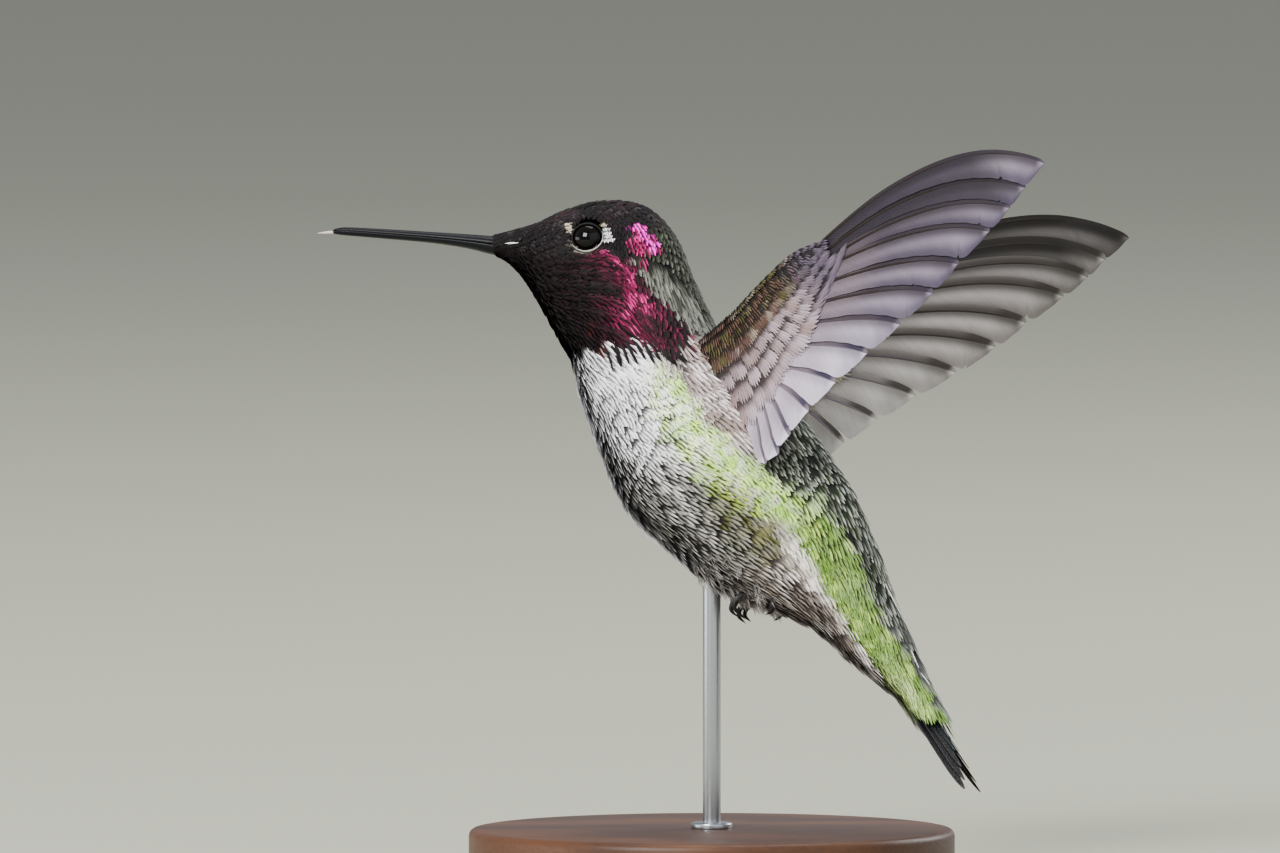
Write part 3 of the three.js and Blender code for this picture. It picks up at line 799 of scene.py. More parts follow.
    def _underside(self, paint: Paint, at: Places) -> None:
        """Lays the pale breast, the dusky spotted belly and the brown-spotted feathers under the tail; the
        keel's edge is left unspotted as a painted rim light.
        """
        white = blended("f6f5fa", "cbc8c4", smooth(at.station, 8.6, 11.2) * smooth(at.fall, 1.0, 0.8))
        likely = 0.78 * self.spots_high.past(at, -0.03, 0.1)
        # The keel's edge is kept clean white, a painted rim light.
        likely *= 1 - 0.95 * smooth(at.fall, 0.87, 0.93) * smooth(at.station, 12.5, 10.5)
        spotted = smooth(at.blotch + 3.0 * likely - 1.45, -0.3, 0.3) * (likely > 0.05)
        dusk = blended("5a595a", "23241c", smooth(at.station, 7.5, 10.0))
        under_tail = smooth(at.station, 12.0, 13.0)
        streaked = blended("a0958e", "e9e2df", smooth(at.chance, 0.3, 0.7))
        centre = blended(blended(white * 0.33, dusk, spotted), "7d736d", under_tail)
        fringe = blended(blended(white, dusk, spotted * 0.5), streaked, under_tail)
        gaps = [np.hypot((at.station - s) / 0.38, (at.fall - f) / 0.07) for s, f in self.vent_spots]
        keel = smooth(at.fall, 0.8, 0.92) * smooth(at.station, 13.4, 14.4)
        brown = np.maximum(0.75 * smooth(np.min(gaps, axis=0), 1.25, 0.75),
                           0.5 * keel * smooth(at.chance, 0.4, 0.6))
        edge = (0.8 + 0.05 * at.fine) * (1 - spotted) + 0.35 * spotted - 0.2 * brown
        hood_end = np.minimum(self.hood_low.reach(at.fall), 7.4)
        cover = self.green_high.past(at, -0.03, 0.03) * smooth(at.station, hood_end - 0.4, hood_end - 0.1)
        paint.lay(cover, blended(centre, "2d231d", brown), blended(fringe, "5d5049", brown * 0.8), 0.03, edge)

    def _armpits(self, paint: Paint, at: Places) -> None:
        """Lays the grey-brown feathers under the wing."""
        cover = window(at.station, 7.6, 8.1, 9.8, 10.9) * smooth(at.fall, 0.16, 0.24)
        cover *= self.green_high.past(at, 0.015, -0.02)
        paint.lay(cover, "665f5c", "c2b9b8", 0.0)
        paint.lay(cover * smooth(at.chance, 0.55, 0.9) * 0.7, fringe="6f6560")

    def _green(self, paint: Paint, at: Places) -> None:
        """Lays the green of flank and rump, which is yellower ahead, with painted sheen and a painted
        highlight near the tail end, and the bronze below it.
        """
        rump = smooth(at.station, 11.2, 12.6)
        green = self.green_high.past(at, -0.045, 0.0) * self.green_low.past(at, 0.02, -0.02)
        green *= smooth(at.station, 7.5, 8.1) * smooth(at.station, 7.3, 8.9) ** 0.6
        green *= np.clip(0.8 + 0.5 * at.fine + 0.5 * rump, 0.25 + 0.7 * rump, 1)
        tone = blended("8fb946", "587530", rump)
        olive = window(at.station, 10.2, 10.9, 11.7, 12.4) * smooth(at.fall, 0.47, 0.53)
        tail = smooth(at.station, 16.2, 17.8) * smooth(at.fall, 0.3, 0.5)
        # Of these, the bfd870 patches are painted sheen on the green and c9d3a0 is a painted highlight near
        # the tail end.
        for code, share in (
            ("e2e8cb", smooth(at.drift, -0.1, 1.3) * (0.6 - 0.55 * rump)),
            ("bfd870", smooth(at.fine, 0.0, 1.4) * (0.6 - 0.2 * rump)),
            ("c9d3a0", tail * 0.6 * at.chance), ("717a2b", olive * 0.85),
        ):
            tone = blended(tone, code, share)
        paint.lay(green, tone * 0.13, tone, 0.4, 0.8)
        bronze = window(at.station, 10.3, 11.2, 12.5, 13.2) * window(at.fall, 0.44, 0.5, 0.6, 0.72)
        bronze *= (1 - green) * np.clip(0.9 + 0.3 * at.fine, 0.4, 1)
        paint.lay(bronze, "1d1b10", blended("53552c", "7f7a58", smooth(at.fine, 0.2, 1.2)))

    def _vent_band(self, paint: Paint, at: Places) -> None:
        """Lays the pale band between the green and the feathers under the tail."""
        low = self.green_low.at(at.station)
        end = low + self.band_share * (self.band_low.at(at.station) - low)
        band = window(at.fall, low - 0.012, low + 0.012, end + 0.005, end + 0.035)
        paint.lay(band * smooth(at.station, 12.1, 12.7), "857a78", "f1e9ea", 0.0)

    def _hood(self, paint: Paint, at: Places) -> None:
        """Lays the dark crown with a painted purple sheen, the iridescent gorget with its glow and glints
        painted in, and the grey streak behind the ear.
        """
        edge_at = self.hood_low.reach(at.fall)
        gorget = self.gorget_high.past(at, -0.012, 0.012) * smooth(at.station, edge_at + 0.16, edge_at + 0.02)
        ear = self.ear_high.past(at, -0.015, 0.015) * self.gorget_high.past(at, 0.03, 0.01) * (1 - gorget)
        ear *= window(at.station, 5.65, 5.95, 7.9, 8.5)
        crown = smooth(at.station, 6.1, 5.5) * (1 - gorget) * (1 - ear)
        paint.lay(crown, "040303", "100c0e", 0.15, 0.5)
        # Patches of painted purple sheen over the crown.
        paint.lay(crown * np.clip(0.6 * at.drift + 0.5 * at.fine, 0, 1) * 0.55, fringe="2e1d24")
        paint.lay(crown * smooth(at.chance, 0.85, 0.97) * 0.5, fringe="3b3638")

        # The gorget's rose is painted iridescent glow: near black towards the bill, rising to rose towards
        # the rear, with painted glints in streaks and on the brightest tips.
        rose_glow = smooth(at.x + 0.12 * (at.z - 63), -15.6, -8.2) * (0.5 + 0.5 * smooth(at.z, 56.5, 61.5))
        rose_glow = np.clip(rose_glow * (0.33 + 0.38 * at.drift + 0.5 * at.fine + 0.45 * (at.chance - 0.4)), 0, 1)
        lit = 0.25 + 0.75 * smooth(at.chance, 0.1, 0.7)
        for light, strength in self.gorget_lights:
            rose_glow = np.clip(rose_glow + strength * light.over(at) * lit, 0, 1)
        warm = smooth(at.z, 59.6, 58.3) * window(at.x, -14.2, -13.5, -12.0, -11.2)
        tip = blended("16080d", "460d26", np.clip(rose_glow * 1.7, 0, 1))
        tip = blended(tip, "7a1546", np.clip(rose_glow * 1.7 - 0.9, 0, 1))
        tip = blended(tip, "d03a88", np.clip(rose_glow * 2.2 - 1.8, 0, 1) * (at.chance > 0.65))
        tip = blended(tip, "5e2218", warm * 0.5 * (at.chance > 0.5))
        paint.lay(gorget, blended("040303", "12040a", rose_glow), tip, 0.5, 0.42)
        pale = np.clip(0.45 + 0.35 * at.fine + 0.3 * (at.chance - 0.5), 0, 1)
        paint.lay(ear, "1c1d1b", blended("33352f", "86877f", pale), 0.0, 0.75)

    def _face(self, paint: Paint, at: Places) -> None:
        """Lays the pink patches on the side of the crown, which are painted iridescent glow, and the small
        pale ones round the eye.
        """
        # These pink patches are painted iridescent glow.
        for spot, colour in self.pink_spots:
            cover = spot.over(at) * smooth(at.station, 7.4, 7.2) * smooth(at.fall, 0.06, 0.1)
            pink = blended("7d1247", colour, smooth(at.chance, 0.1, 0.4))
            paint.lay(cover, "4a0528", pink, 0.4, 0.62)
        surround = self.eye_surround.over(at) * smooth(at.z, 72.4, 71.6) * 0.55
        paint.lay(surround * (at.chance > 0.45), "171312", "6f665e", 0.1, 0.6)
        for spot, colour in self.face_spots:
            speckled = np.clip(spot.over(at) * (0.85 + 0.5 * at.chance), 0, 1)
            paint.lay(speckled, np.array(linear(colour)) * 0.5, colour, 0.0, 0.9)


# ---- Finishes ----


def math_node(operation: str, reflected: bool = False) -> Callable[..., "Socket"]:
    """A method that works a socket and other values through a Math node.

    Args:
        operation: What the node does.
        reflected: Whether the socket comes last.

    Returns:
        The method.
    """
    def method(self: "Socket", *others: "Socket | float") -> "Socket":
        """Adds the node."""
        values = (*others, self) if reflected else (self, *others)
        return self.nodes.add("ShaderNodeMath", {"operation": operation}, dict(enumerate(values)))

    return method


class Socket:
    """A number in a material's nodes; arithmetic on it adds Math nodes."""

    def __init__(self, nodes: "Nodes", output: bpy.types.NodeSocket) -> None:
        """Wraps a node's output."""
        self.nodes = nodes
        self.output = output

    __add__ = __radd__ = math_node("ADD")
    __sub__, __rsub__ = math_node("SUBTRACT"), math_node("SUBTRACT", reflected=True)
    __mul__ = __rmul__ = math_node("MULTIPLY")
    __pow__, __abs__, sine = math_node("POWER"), math_node("ABSOLUTE"), math_node("SINE")

    def between(self, low: float, high: float) -> "Socket":
        """A soft step from 0 at low to 1 at high."""
        settings = {"interpolation_type": "SMOOTHSTEP"}
        return self.nodes.add("ShaderNodeMapRange", settings, {0: self, 1: low, 2: high, 3: 0.0, 4: 1.0})


class Nodes:
    """The nodes of one material, which end in one Principled shader."""

    def __init__(self, name: str) -> None:
        """Starts a material with a Principled shader and its output."""
        self.material = bpy.data.materials.new(name)
        self.material.use_nodes = True
        self.tree = self.material.node_tree
        self.shader = self.tree.nodes["Principled BSDF"]

    def add(self, kind: str, settings: dict | None = None, inputs: dict | None = None,
            output: int | str = 0) -> Socket:
        """Adds a node.

        Args:
            kind: The node's type.
            settings: Its own settings, which are set first.
            inputs: Values or sockets by the number or name of the input.
            output: Which output to give back.

        Returns:
            The output, wrapped.
        """
        node = self.tree.nodes.new(kind)
        for key, value in (settings or {}).items():
            setattr(node, key, value)
        for key, value in (inputs or {}).items():
            self.feed(node.inputs[key], value)
        return Socket(self, node.outputs[output])

    def feed(self, target: bpy.types.NodeSocket, value: object) -> None:
        """Links a socket to an input, or sets the input's own value.

        Args:
            target: The input.
            value: A socket, a number, a vector, or a colour's code.
        """
        if isinstance(value, Socket):
            self.tree.links.new(value.output, target)
        else:
            target.default_value = (*linear(value), 1.0) if isinstance(value, str) else value

    def mix(self, first: Socket | str, second: Socket | str, share: Socket | float,
            blend: str = "MIX") -> Socket:
        """Mixes two colours, given as sockets or codes."""
        settings = {"data_type": "RGBA", "blend_type": blend}
        return self.add("ShaderNodeMix", settings, {0: share, 6: first, 7: second}, output=2)

    def lit(self, colour: Socket | str, light: Socket) -> Socket:
        """A colour times a number."""
        grey = self.add("ShaderNodeCombineColor", inputs={0: light, 1: light, 2: light})
        return self.mix(colour, grey, 1.0, "MULTIPLY")

    def attribute(self, name: str, output: str = "Fac") -> Socket:
        """A value that is stored on the mesh."""
        return self.add("ShaderNodeAttribute", {"attribute_name": name}, output=output)

    def split(self, vector: Socket) -> tuple[Socket, Socket, Socket]:
        """The three numbers of a vector."""
        first = self.add("ShaderNodeSeparateXYZ", inputs={0: vector})
        return tuple(Socket(self, output) for output in first.output.node.outputs)

    def object_place(self, scale: Triple = (1.0, 1.0, 1.0)) -> Socket:
        """The point on the object, scaled."""
        place = self.add("ShaderNodeTexCoord", output="Object")
        return self.add("ShaderNodeMapping", inputs={"Vector": place, "Scale": scale})

    def noise(self, scale: float, detail: float = 3.0, place: Socket | None = None) -> Socket:
        """A noise field; the scale is in waves for each metre unless a place is given."""
        inputs = {"Vector": place or self.object_place(), "Scale": scale, "Detail": detail}
        return self.add("ShaderNodeTexNoise", inputs=inputs)

    def bump(self, height: Socket, distance: float, strength: float) -> Socket:
        """A normal that is tilted by a height field."""
        inputs = {"Height": height, "Distance": distance, "Strength": strength}
        return self.add("ShaderNodeBump", inputs=inputs)

    def finish(self, **inputs: object) -> Finish:
        """Sets the shader's inputs, by name with _ for a space, and gives the material."""
        for key, value in inputs.items():
            self.feed(self.shader.inputs[key.replace("_", " ")], value)
        return self.material


@dataclass(frozen=True)
class Plumage:
    """Small feathers whose colours are stored on them: dark down, then barbs from centre to fringe. Light and
    shade are painted in: each barb is lit on one edge and shaded on the other, glossy barbs carry painted
    glints, and the dark down also stands for painted shade between the barbs.
    """

    name: str = "plumage"
    down: str = "1a1818"
    roughness: float = 0.75
    glossy_roughness: float = 0.4
    specular: float = 0.22

    def make(self) -> Finish:
        """Makes the material."""
        nodes = Nodes(self.name)
        across, along, shade = nodes.split(nodes.attribute("vane", "Vector"))
        gloss, edge = nodes.attribute("gloss"), nodes.attribute("edge")
        centre, fringe = nodes.attribute("centre", "Color"), nodes.attribute("fringe", "Color")
        rim = abs(across) * 0.35 + along * 0.8
        # The shaded edge of each barb takes more of the centre colour, a painted shade.
        outer = (rim - (1.0 - edge)).between(-0.28, 0.12) * (shade.between(0.05, 0.6) * 0.75 + 0.25)
        plain = shade.between(-0.1, 1.1) + 0.3
        # Glossy barbs get a painted glint on their lit edge.
        painted_glint = shade.between(0.35, 1.0) * 2.2 + 0.1
        light = nodes.noise(900.0, 2.0) * 0.2 + plain + gloss * (painted_glint - plain) * 1.6
        colour = nodes.lit(nodes.mix(centre, fringe, outer), light)
        # Towards the root the dark down shows; it also stands for painted shade between the barbs.
        colour = nodes.mix(nodes.mix(self.down, centre, 0.25), colour, along.between(0.34, 0.68))
        ridges = (along * 46.0 + abs(across) * 9.0).sine()
        return nodes.finish(
            Base_Color=colour, Metallic=gloss * 0.7, Specular_IOR_Level=self.specular,
            Roughness=self.roughness + gloss * (self.glossy_roughness - self.roughness) + shade * 0.08,
            Normal=nodes.bump(ridges, 0.00002, 0.35),
        )


@dataclass(frozen=True)
class EyeGloss:
    """A wet dark eye: a brown iris ring round a black pupil."""

    centre: Triple
    pupil_radius: float = 0.95
    iris_radius: float = 1.5

    def make(self, name: str) -> Finish:
        """Makes the material."""
        nodes = Nodes(name)
        inputs = {0: nodes.object_place(), 1: self.centre}
        across, _, up = nodes.split(nodes.add("ShaderNodeVectorMath", {"operation": "SUBTRACT"}, inputs))
        gap = (across * across + up * up) ** 0.5 * (1 / MM)
        iris = gap.between(self.pupil_radius - 0.1, self.pupil_radius + 0.12)
        rim = gap.between(self.iris_radius - 0.15, self.iris_radius + 0.1)
        brown = nodes.mix("0d0605", "050303", nodes.noise(5200.0, 4.0))
        colour = nodes.mix(nodes.mix("020202", brown, iris), "030202", rim)
        return nodes.finish(Base_Color=colour, Roughness=0.05, Specular_IOR_Level=0.22)


@dataclass(frozen=True)
class Horn:
    """Smooth dark horn, as of a bill or a claw, with fine lengthwise growth lines."""

    name: str
    dark: str = "040406"
    # The light tone's blue cast is a painted sky reflection.
    light: str = "11131a"
    roughness: float = 0.3

    def make(self) -> Finish:
        """Makes the material."""
        nodes = Nodes(self.name)
        lines = nodes.noise(1.0, 3.0, nodes.object_place((120.0, 5200.0, 5200.0)))
        patches = nodes.noise(260.0, 2.0)
        return nodes.finish(
            Base_Color=nodes.mix(self.dark, self.light, lines * 0.6 + patches * 0.3),
            Roughness=self.roughness + patches * 0.14, Specular_IOR_Level=0.16,
            Normal=nodes.bump(lines, 0.00001, 0.3),
        )


@dataclass(frozen=True)
class Vane:
    """A flight or tail feather's vane: its stored tint, crossed by fine slanting barbs.

    The attribute run holds, in millimetres, the distance from the shaft and the distance along it.
    """

    name: str = "vane"
    barb_gap: float = 0.27
    slant: float = 1.15
    contrast: float = 0.2
    roughness: float = 0.5
    specular: float = 0.25

    def make(self) -> Finish:
        """Makes the material."""
        nodes = Nodes(self.name)
        across, along, _ = nodes.split(nodes.attribute("run", "Vector"))
        barb = along - abs(across) * self.slant
        wave = (barb * (2 * math.pi / self.barb_gap)).sine()
        place = nodes.add("ShaderNodeCombineXYZ", inputs={0: barb * 2.2, 1: across * 0.25})
        streaks = nodes.noise(1.0, 3.0, place)
        light = (1.0 - self.contrast) + wave * (self.contrast * 0.35) + streaks * (self.contrast * 1.9)
        return nodes.finish(
            Base_Color=nodes.lit(nodes.attribute("tint", "Color"), light),
            Roughness=streaks * 0.2 + self.roughness, Specular_IOR_Level=self.specular,
            Normal=nodes.bump(wave, 0.00003, 0.5),
        )


@dataclass(frozen=True)
class Plain:
    """A plain finish with a little grain."""

    name: str
    colour: str
    grain: float = 0.15
    roughness: float = 0.5
    metallic: float = 0.0
    stretch: Triple = (900.0, 900.0, 900.0)

    def make(self) -> Finish:
        """Makes the material."""
        nodes = Nodes(self.name)
        grain = nodes.noise(1.0, 4.0, nodes.object_place(self.stretch))
        return nodes.finish(
            Base_Color=nodes.lit(self.colour, grain * (2 * self.grain) + (1 - self.grain)),
            Roughness=grain * 0.12 + self.roughness, Metallic=self.metallic,
            Normal=nodes.bump(grain, 0.00001, 0.3),
        )


@dataclass(frozen=True)
class Wood:
    """Oiled dark wood with the grain along X."""

    name: str = "walnut"
    dark: str = "2a170e"
    light: str = "5f3c26"

    def make(self) -> Finish:
        """Makes the material."""
        nodes = Nodes(self.name)
        warp = nodes.noise(22.0, 2.0) * 7.7
        _, y, z = nodes.split(nodes.object_place((6.0, 95.0, 60.0)))
        rings = ((y + z + warp) * 3.1).sine() * 0.5 + 0.5
        pores = nodes.noise(1.0, 4.0, nodes.object_place((140.0, 2400.0, 2400.0)))
        return nodes.finish(
            Base_Color=nodes.mix(self.dark, self.light, rings * 0.45 + pores * 0.55),
            Roughness=0.55 - pores * 0.2, Specular_IOR_Level=0.3, Normal=nodes.bump(pores, 0.00005, 0.25),
        )


# ---- Hand work ----


def only(*pieces: Piece) -> None:
    """Selects these pieces and nothing else, the first of them active."""
    bpy.ops.object.select_all(action="DESELECT")
    for piece in pieces:
        piece.select_set(True)
    bpy.context.view_layer.objects.active = pieces[0]


def primitive(add: Callable[..., object], name: str, **settings: float) -> Piece:
    """Adds one of Blender's mesh primitives, with nothing else selected, and names it.

    Args:
        add: The operator that adds it.
        name: The piece's name.
        settings: The operator's settings.

    Returns:
        The piece.
    """
    bpy.ops.object.select_all(action="DESELECT")
    add(**settings)
    piece = bpy.context.object
    piece.name = piece.data.name = name
    return piece


def modify(piece: Piece, kind: str, **settings: object) -> None:
    """Adds a modifier to a piece and applies it.

    Args:
        piece: The piece.
        kind: The modifier's type.
        settings: Its settings.
    """
    only(piece)
    modifier = piece.modifiers.new(kind.title(), kind)
    for key, value in settings.items():
        setattr(modifier, key, value)
    bpy.ops.object.modifier_apply(modifier=modifier.name)


def edit(piece: Piece, *steps: Callable[[], object]) -> None:
    """Runs edit-mode steps on the whole of a piece.

    Args:
        piece: The piece.
        steps: What to do, in order.
    """
    only(piece)
    bpy.ops.object.mode_set(mode="EDIT")
    bpy.ops.mesh.select_all(action="SELECT")
    for step in steps:
        step()
    bpy.ops.object.mode_set(mode="OBJECT")


def weld() -> None:
    """An edit step that merges points that lie together."""
    bpy.ops.mesh.remove_doubles(threshold=1e-6)


def face_out() -> None:
    """An edit step that turns all faces outwards."""
    bpy.ops.mesh.normals_make_consistent(inside=False)


def points_of(piece: Piece) -> Array:
    """The points of a piece's mesh."""
    values = np.empty(len(piece.data.vertices) * 3, dtype=np.float32)
    piece.data.vertices.foreach_get("co", values)
    return values.reshape(-1, 3).astype(float)


def move_points(piece: Piece, points: Array) -> None:
    """Moves the points of a piece's mesh."""
    piece.data.vertices.foreach_set("co", points.astype(np.float32).ravel())
    piece.data.update()


def formed(name: str, steps: tuple[int, int], form: Callable[[Array, Array], Array]) -> Piece:
    """Adds a grid and bends it into a form in the level bird's millimetres.

    Args:
        name: The piece's name.
        steps: How many divisions each way.
        form: Gives the points at pairs of two shares, each from 0 to 1.

    Returns:
        The piece, welded where its edges meet and turned outwards.
    """
    grid = bpy.ops.mesh.primitive_grid_add
    piece = primitive(grid, name, x_subdivisions=steps[0], y_subdivisions=steps[1], size=2.0)
    flat = (points_of(piece) + 1) / 2
    move_points(piece, BANK.place(form(flat[:, 0], flat[:, 1])))
    edit(piece, weld, face_out)
    return piece


def dressed(piece: Piece, slot: str, material: Finish, *nodes: str) -> Piece:
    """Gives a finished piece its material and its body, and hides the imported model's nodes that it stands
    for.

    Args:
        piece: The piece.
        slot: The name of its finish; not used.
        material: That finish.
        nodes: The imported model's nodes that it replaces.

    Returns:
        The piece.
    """
    piece.data.materials.clear()
    piece.data.materials.append(material)
    piece.data.polygons.foreach_set("use_smooth", np.ones(len(piece.data.polygons), dtype=bool))
    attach(piece, BODY)
    if nodes:
        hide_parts(*nodes)
    LOG.info("%s: %d faces", piece.name, len(piece.data.polygons))
    return piece


def joined(name: str, pieces: Sequence[Piece]) -> Piece:
    """Joins pieces into one.

    Args:
        name: The name of the one.
        pieces: What it is made of.

    Returns:
        The piece.
    """
    only(*pieces)
    bpy.ops.object.join()
    piece = bpy.context.object
    piece.name = piece.data.name = name
    return piece


@dataclass(frozen=True)
class Tube:
    """A round solid along a smooth path, in the level bird's millimetres.

    Attributes:
        path: Points that the middle line runs through, evenly spaced.
        radii: Radii at evenly spaced places from one end to the other.
        sides: How many sides it has.
        rings: How many rings of faces.
        helper: A direction that the path never runs along.
    """

    path: Sequence[Sequence[float]]
    radii: Values
    sides: int = 12
    rings: int = 20
    helper: Triple = (0.0, 1.0, 0.0)

    def point(self, turn: Array, run: Array) -> Array:
        """The surface's point at a share of the way round and a share of the way along."""
        path = np.array(self.path, dtype=float)
        place = run * (len(path) - 1)
        way = unit(catmull_rom(path, place + 0.01) - catmull_rom(path, place - 0.01))
        side = unit(np.cross(way, self.helper))
        radius = np.interp(run, np.linspace(0, 1, len(self.radii)), self.radii)[:, None]
        angle = (turn * 2 * math.pi)[:, None]
        ring = np.cos(angle) * side + np.sin(angle) * np.cross(side, way)
        return catmull_rom(path, place) + radius * ring

    def build(self, name: str) -> Piece:
        """Makes the piece."""
        return formed(name, (self.sides, self.rings), self.point)


# ---- Skin ----


@dataclass
class Skin:
    """One skin under the whole coat, in place of the solids of flesh."""

    body: BodyShape
    markings: Markings
    flesh: tuple[str, ...] = (
        "trunk", "head", "neck", "tail_coverts", "leg_left", "leg_right",
        "wing_left_arm", "wing_left_hand", "wing_right_arm", "wing_right_hand",
    )
    closing: float = 0.22
    voxel: float = 0.34
    under_coat: float = 0.5
    under_coverts: float = 0.3
    feather_end: float = 0.9

    def build(self, material: Finish) -> Piece:
        """Joins copies of the flesh, closes their partings and draws the skin in under the coat."""
        copies = []
        for name in self.flesh:
            copy = bpy.data.objects.new(f"copy_{name}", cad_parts[name].data.copy())
            bpy.context.scene.collection.objects.link(copy)
            edit(copy, weld)
            modify(copy, "DISPLACE", mid_level=0.0, strength=self.closing * MM)
            copies.append(copy)
        skin = joined("skin", copies)
        modify(skin, "REMESH", mode="VOXEL", voxel_size=self.voxel * MM, use_smooth_shade=True)
        modify(skin, "SMOOTH", factor=0.5, iterations=6)
        along, across, gap = self._place_on_body(skin)
        weights = np.interp(gap, [0.7, 2.2], [1.0, self.under_coverts / self.under_coat])
        group = skin.vertex_groups.new(name="under_coat")
        for weight in np.unique(np.round(weights, 2)):
            members = np.flatnonzero(np.abs(weights - weight) <= 0.005).tolist()
            group.add(members, float(weight), "REPLACE")
        drawn_in = -(self.closing + self.under_coat) * MM
        modify(skin, "DISPLACE", mid_level=0.0, strength=drawn_in, vertex_group="under_coat")
        skin.vertex_groups.clear()
        self._paint(skin, along, across, smooth(gap, 0.9, 2.0))
        return dressed(skin, "trunk_feathers", material, *self.flesh)

    def _place_on_body(self, skin: Piece) -> tuple[Array, Array, Array]:
        """The body's station and angle nearest each point, and how far off the body the point is."""
        grid = np.meshgrid(np.linspace(0, self.body.end, 220), np.linspace(0, 2 * math.pi, 120))
        along, across = grid[0].ravel(), grid[1].ravel()
        tree = KDTree(len(along))
        for number, point in enumerate(BANK.place(self.body.point(along, across))):
            tree.insert(point, number)
        tree.balance()
        nearest, gaps = zip(*(tree.find(point)[1:] for point in points_of(skin)))
        return along[list(nearest)], across[list(nearest)], np.array(gaps) / MM

    def _paint(self, skin: Piece, along: Array, across: Array, off: Array) -> None:
        """Stores the coat's markings on the skin, darkened as painted shade under the coat.

        Args:
            skin: The skin.
            along: The station nearest each point.
            across: The angle nearest it.
            off: How much each point belongs to a wing or a leg, from 0 to 1.
        """
        paint = self.markings.paint(along, across)
        # The skin takes the coat's colours at half strength with a low barb shade: painted shade under the
        # coat.
        for name, values in (
            ("centre", coloured(blended(paint.centre, "5d4b45", off) * 0.5)),
            ("fringe", coloured(blended(paint.fringe, "8a7c7c", off) * 0.5)),
            ("gloss", paint.gloss * (1 - off)), ("edge", paint.edge),
            ("vane", np.tile([0.0, self.feather_end, 0.2], (len(off), 1))),
        ):
            paint_layer(skin.data, name, values)


# ---- Coat of the body ----


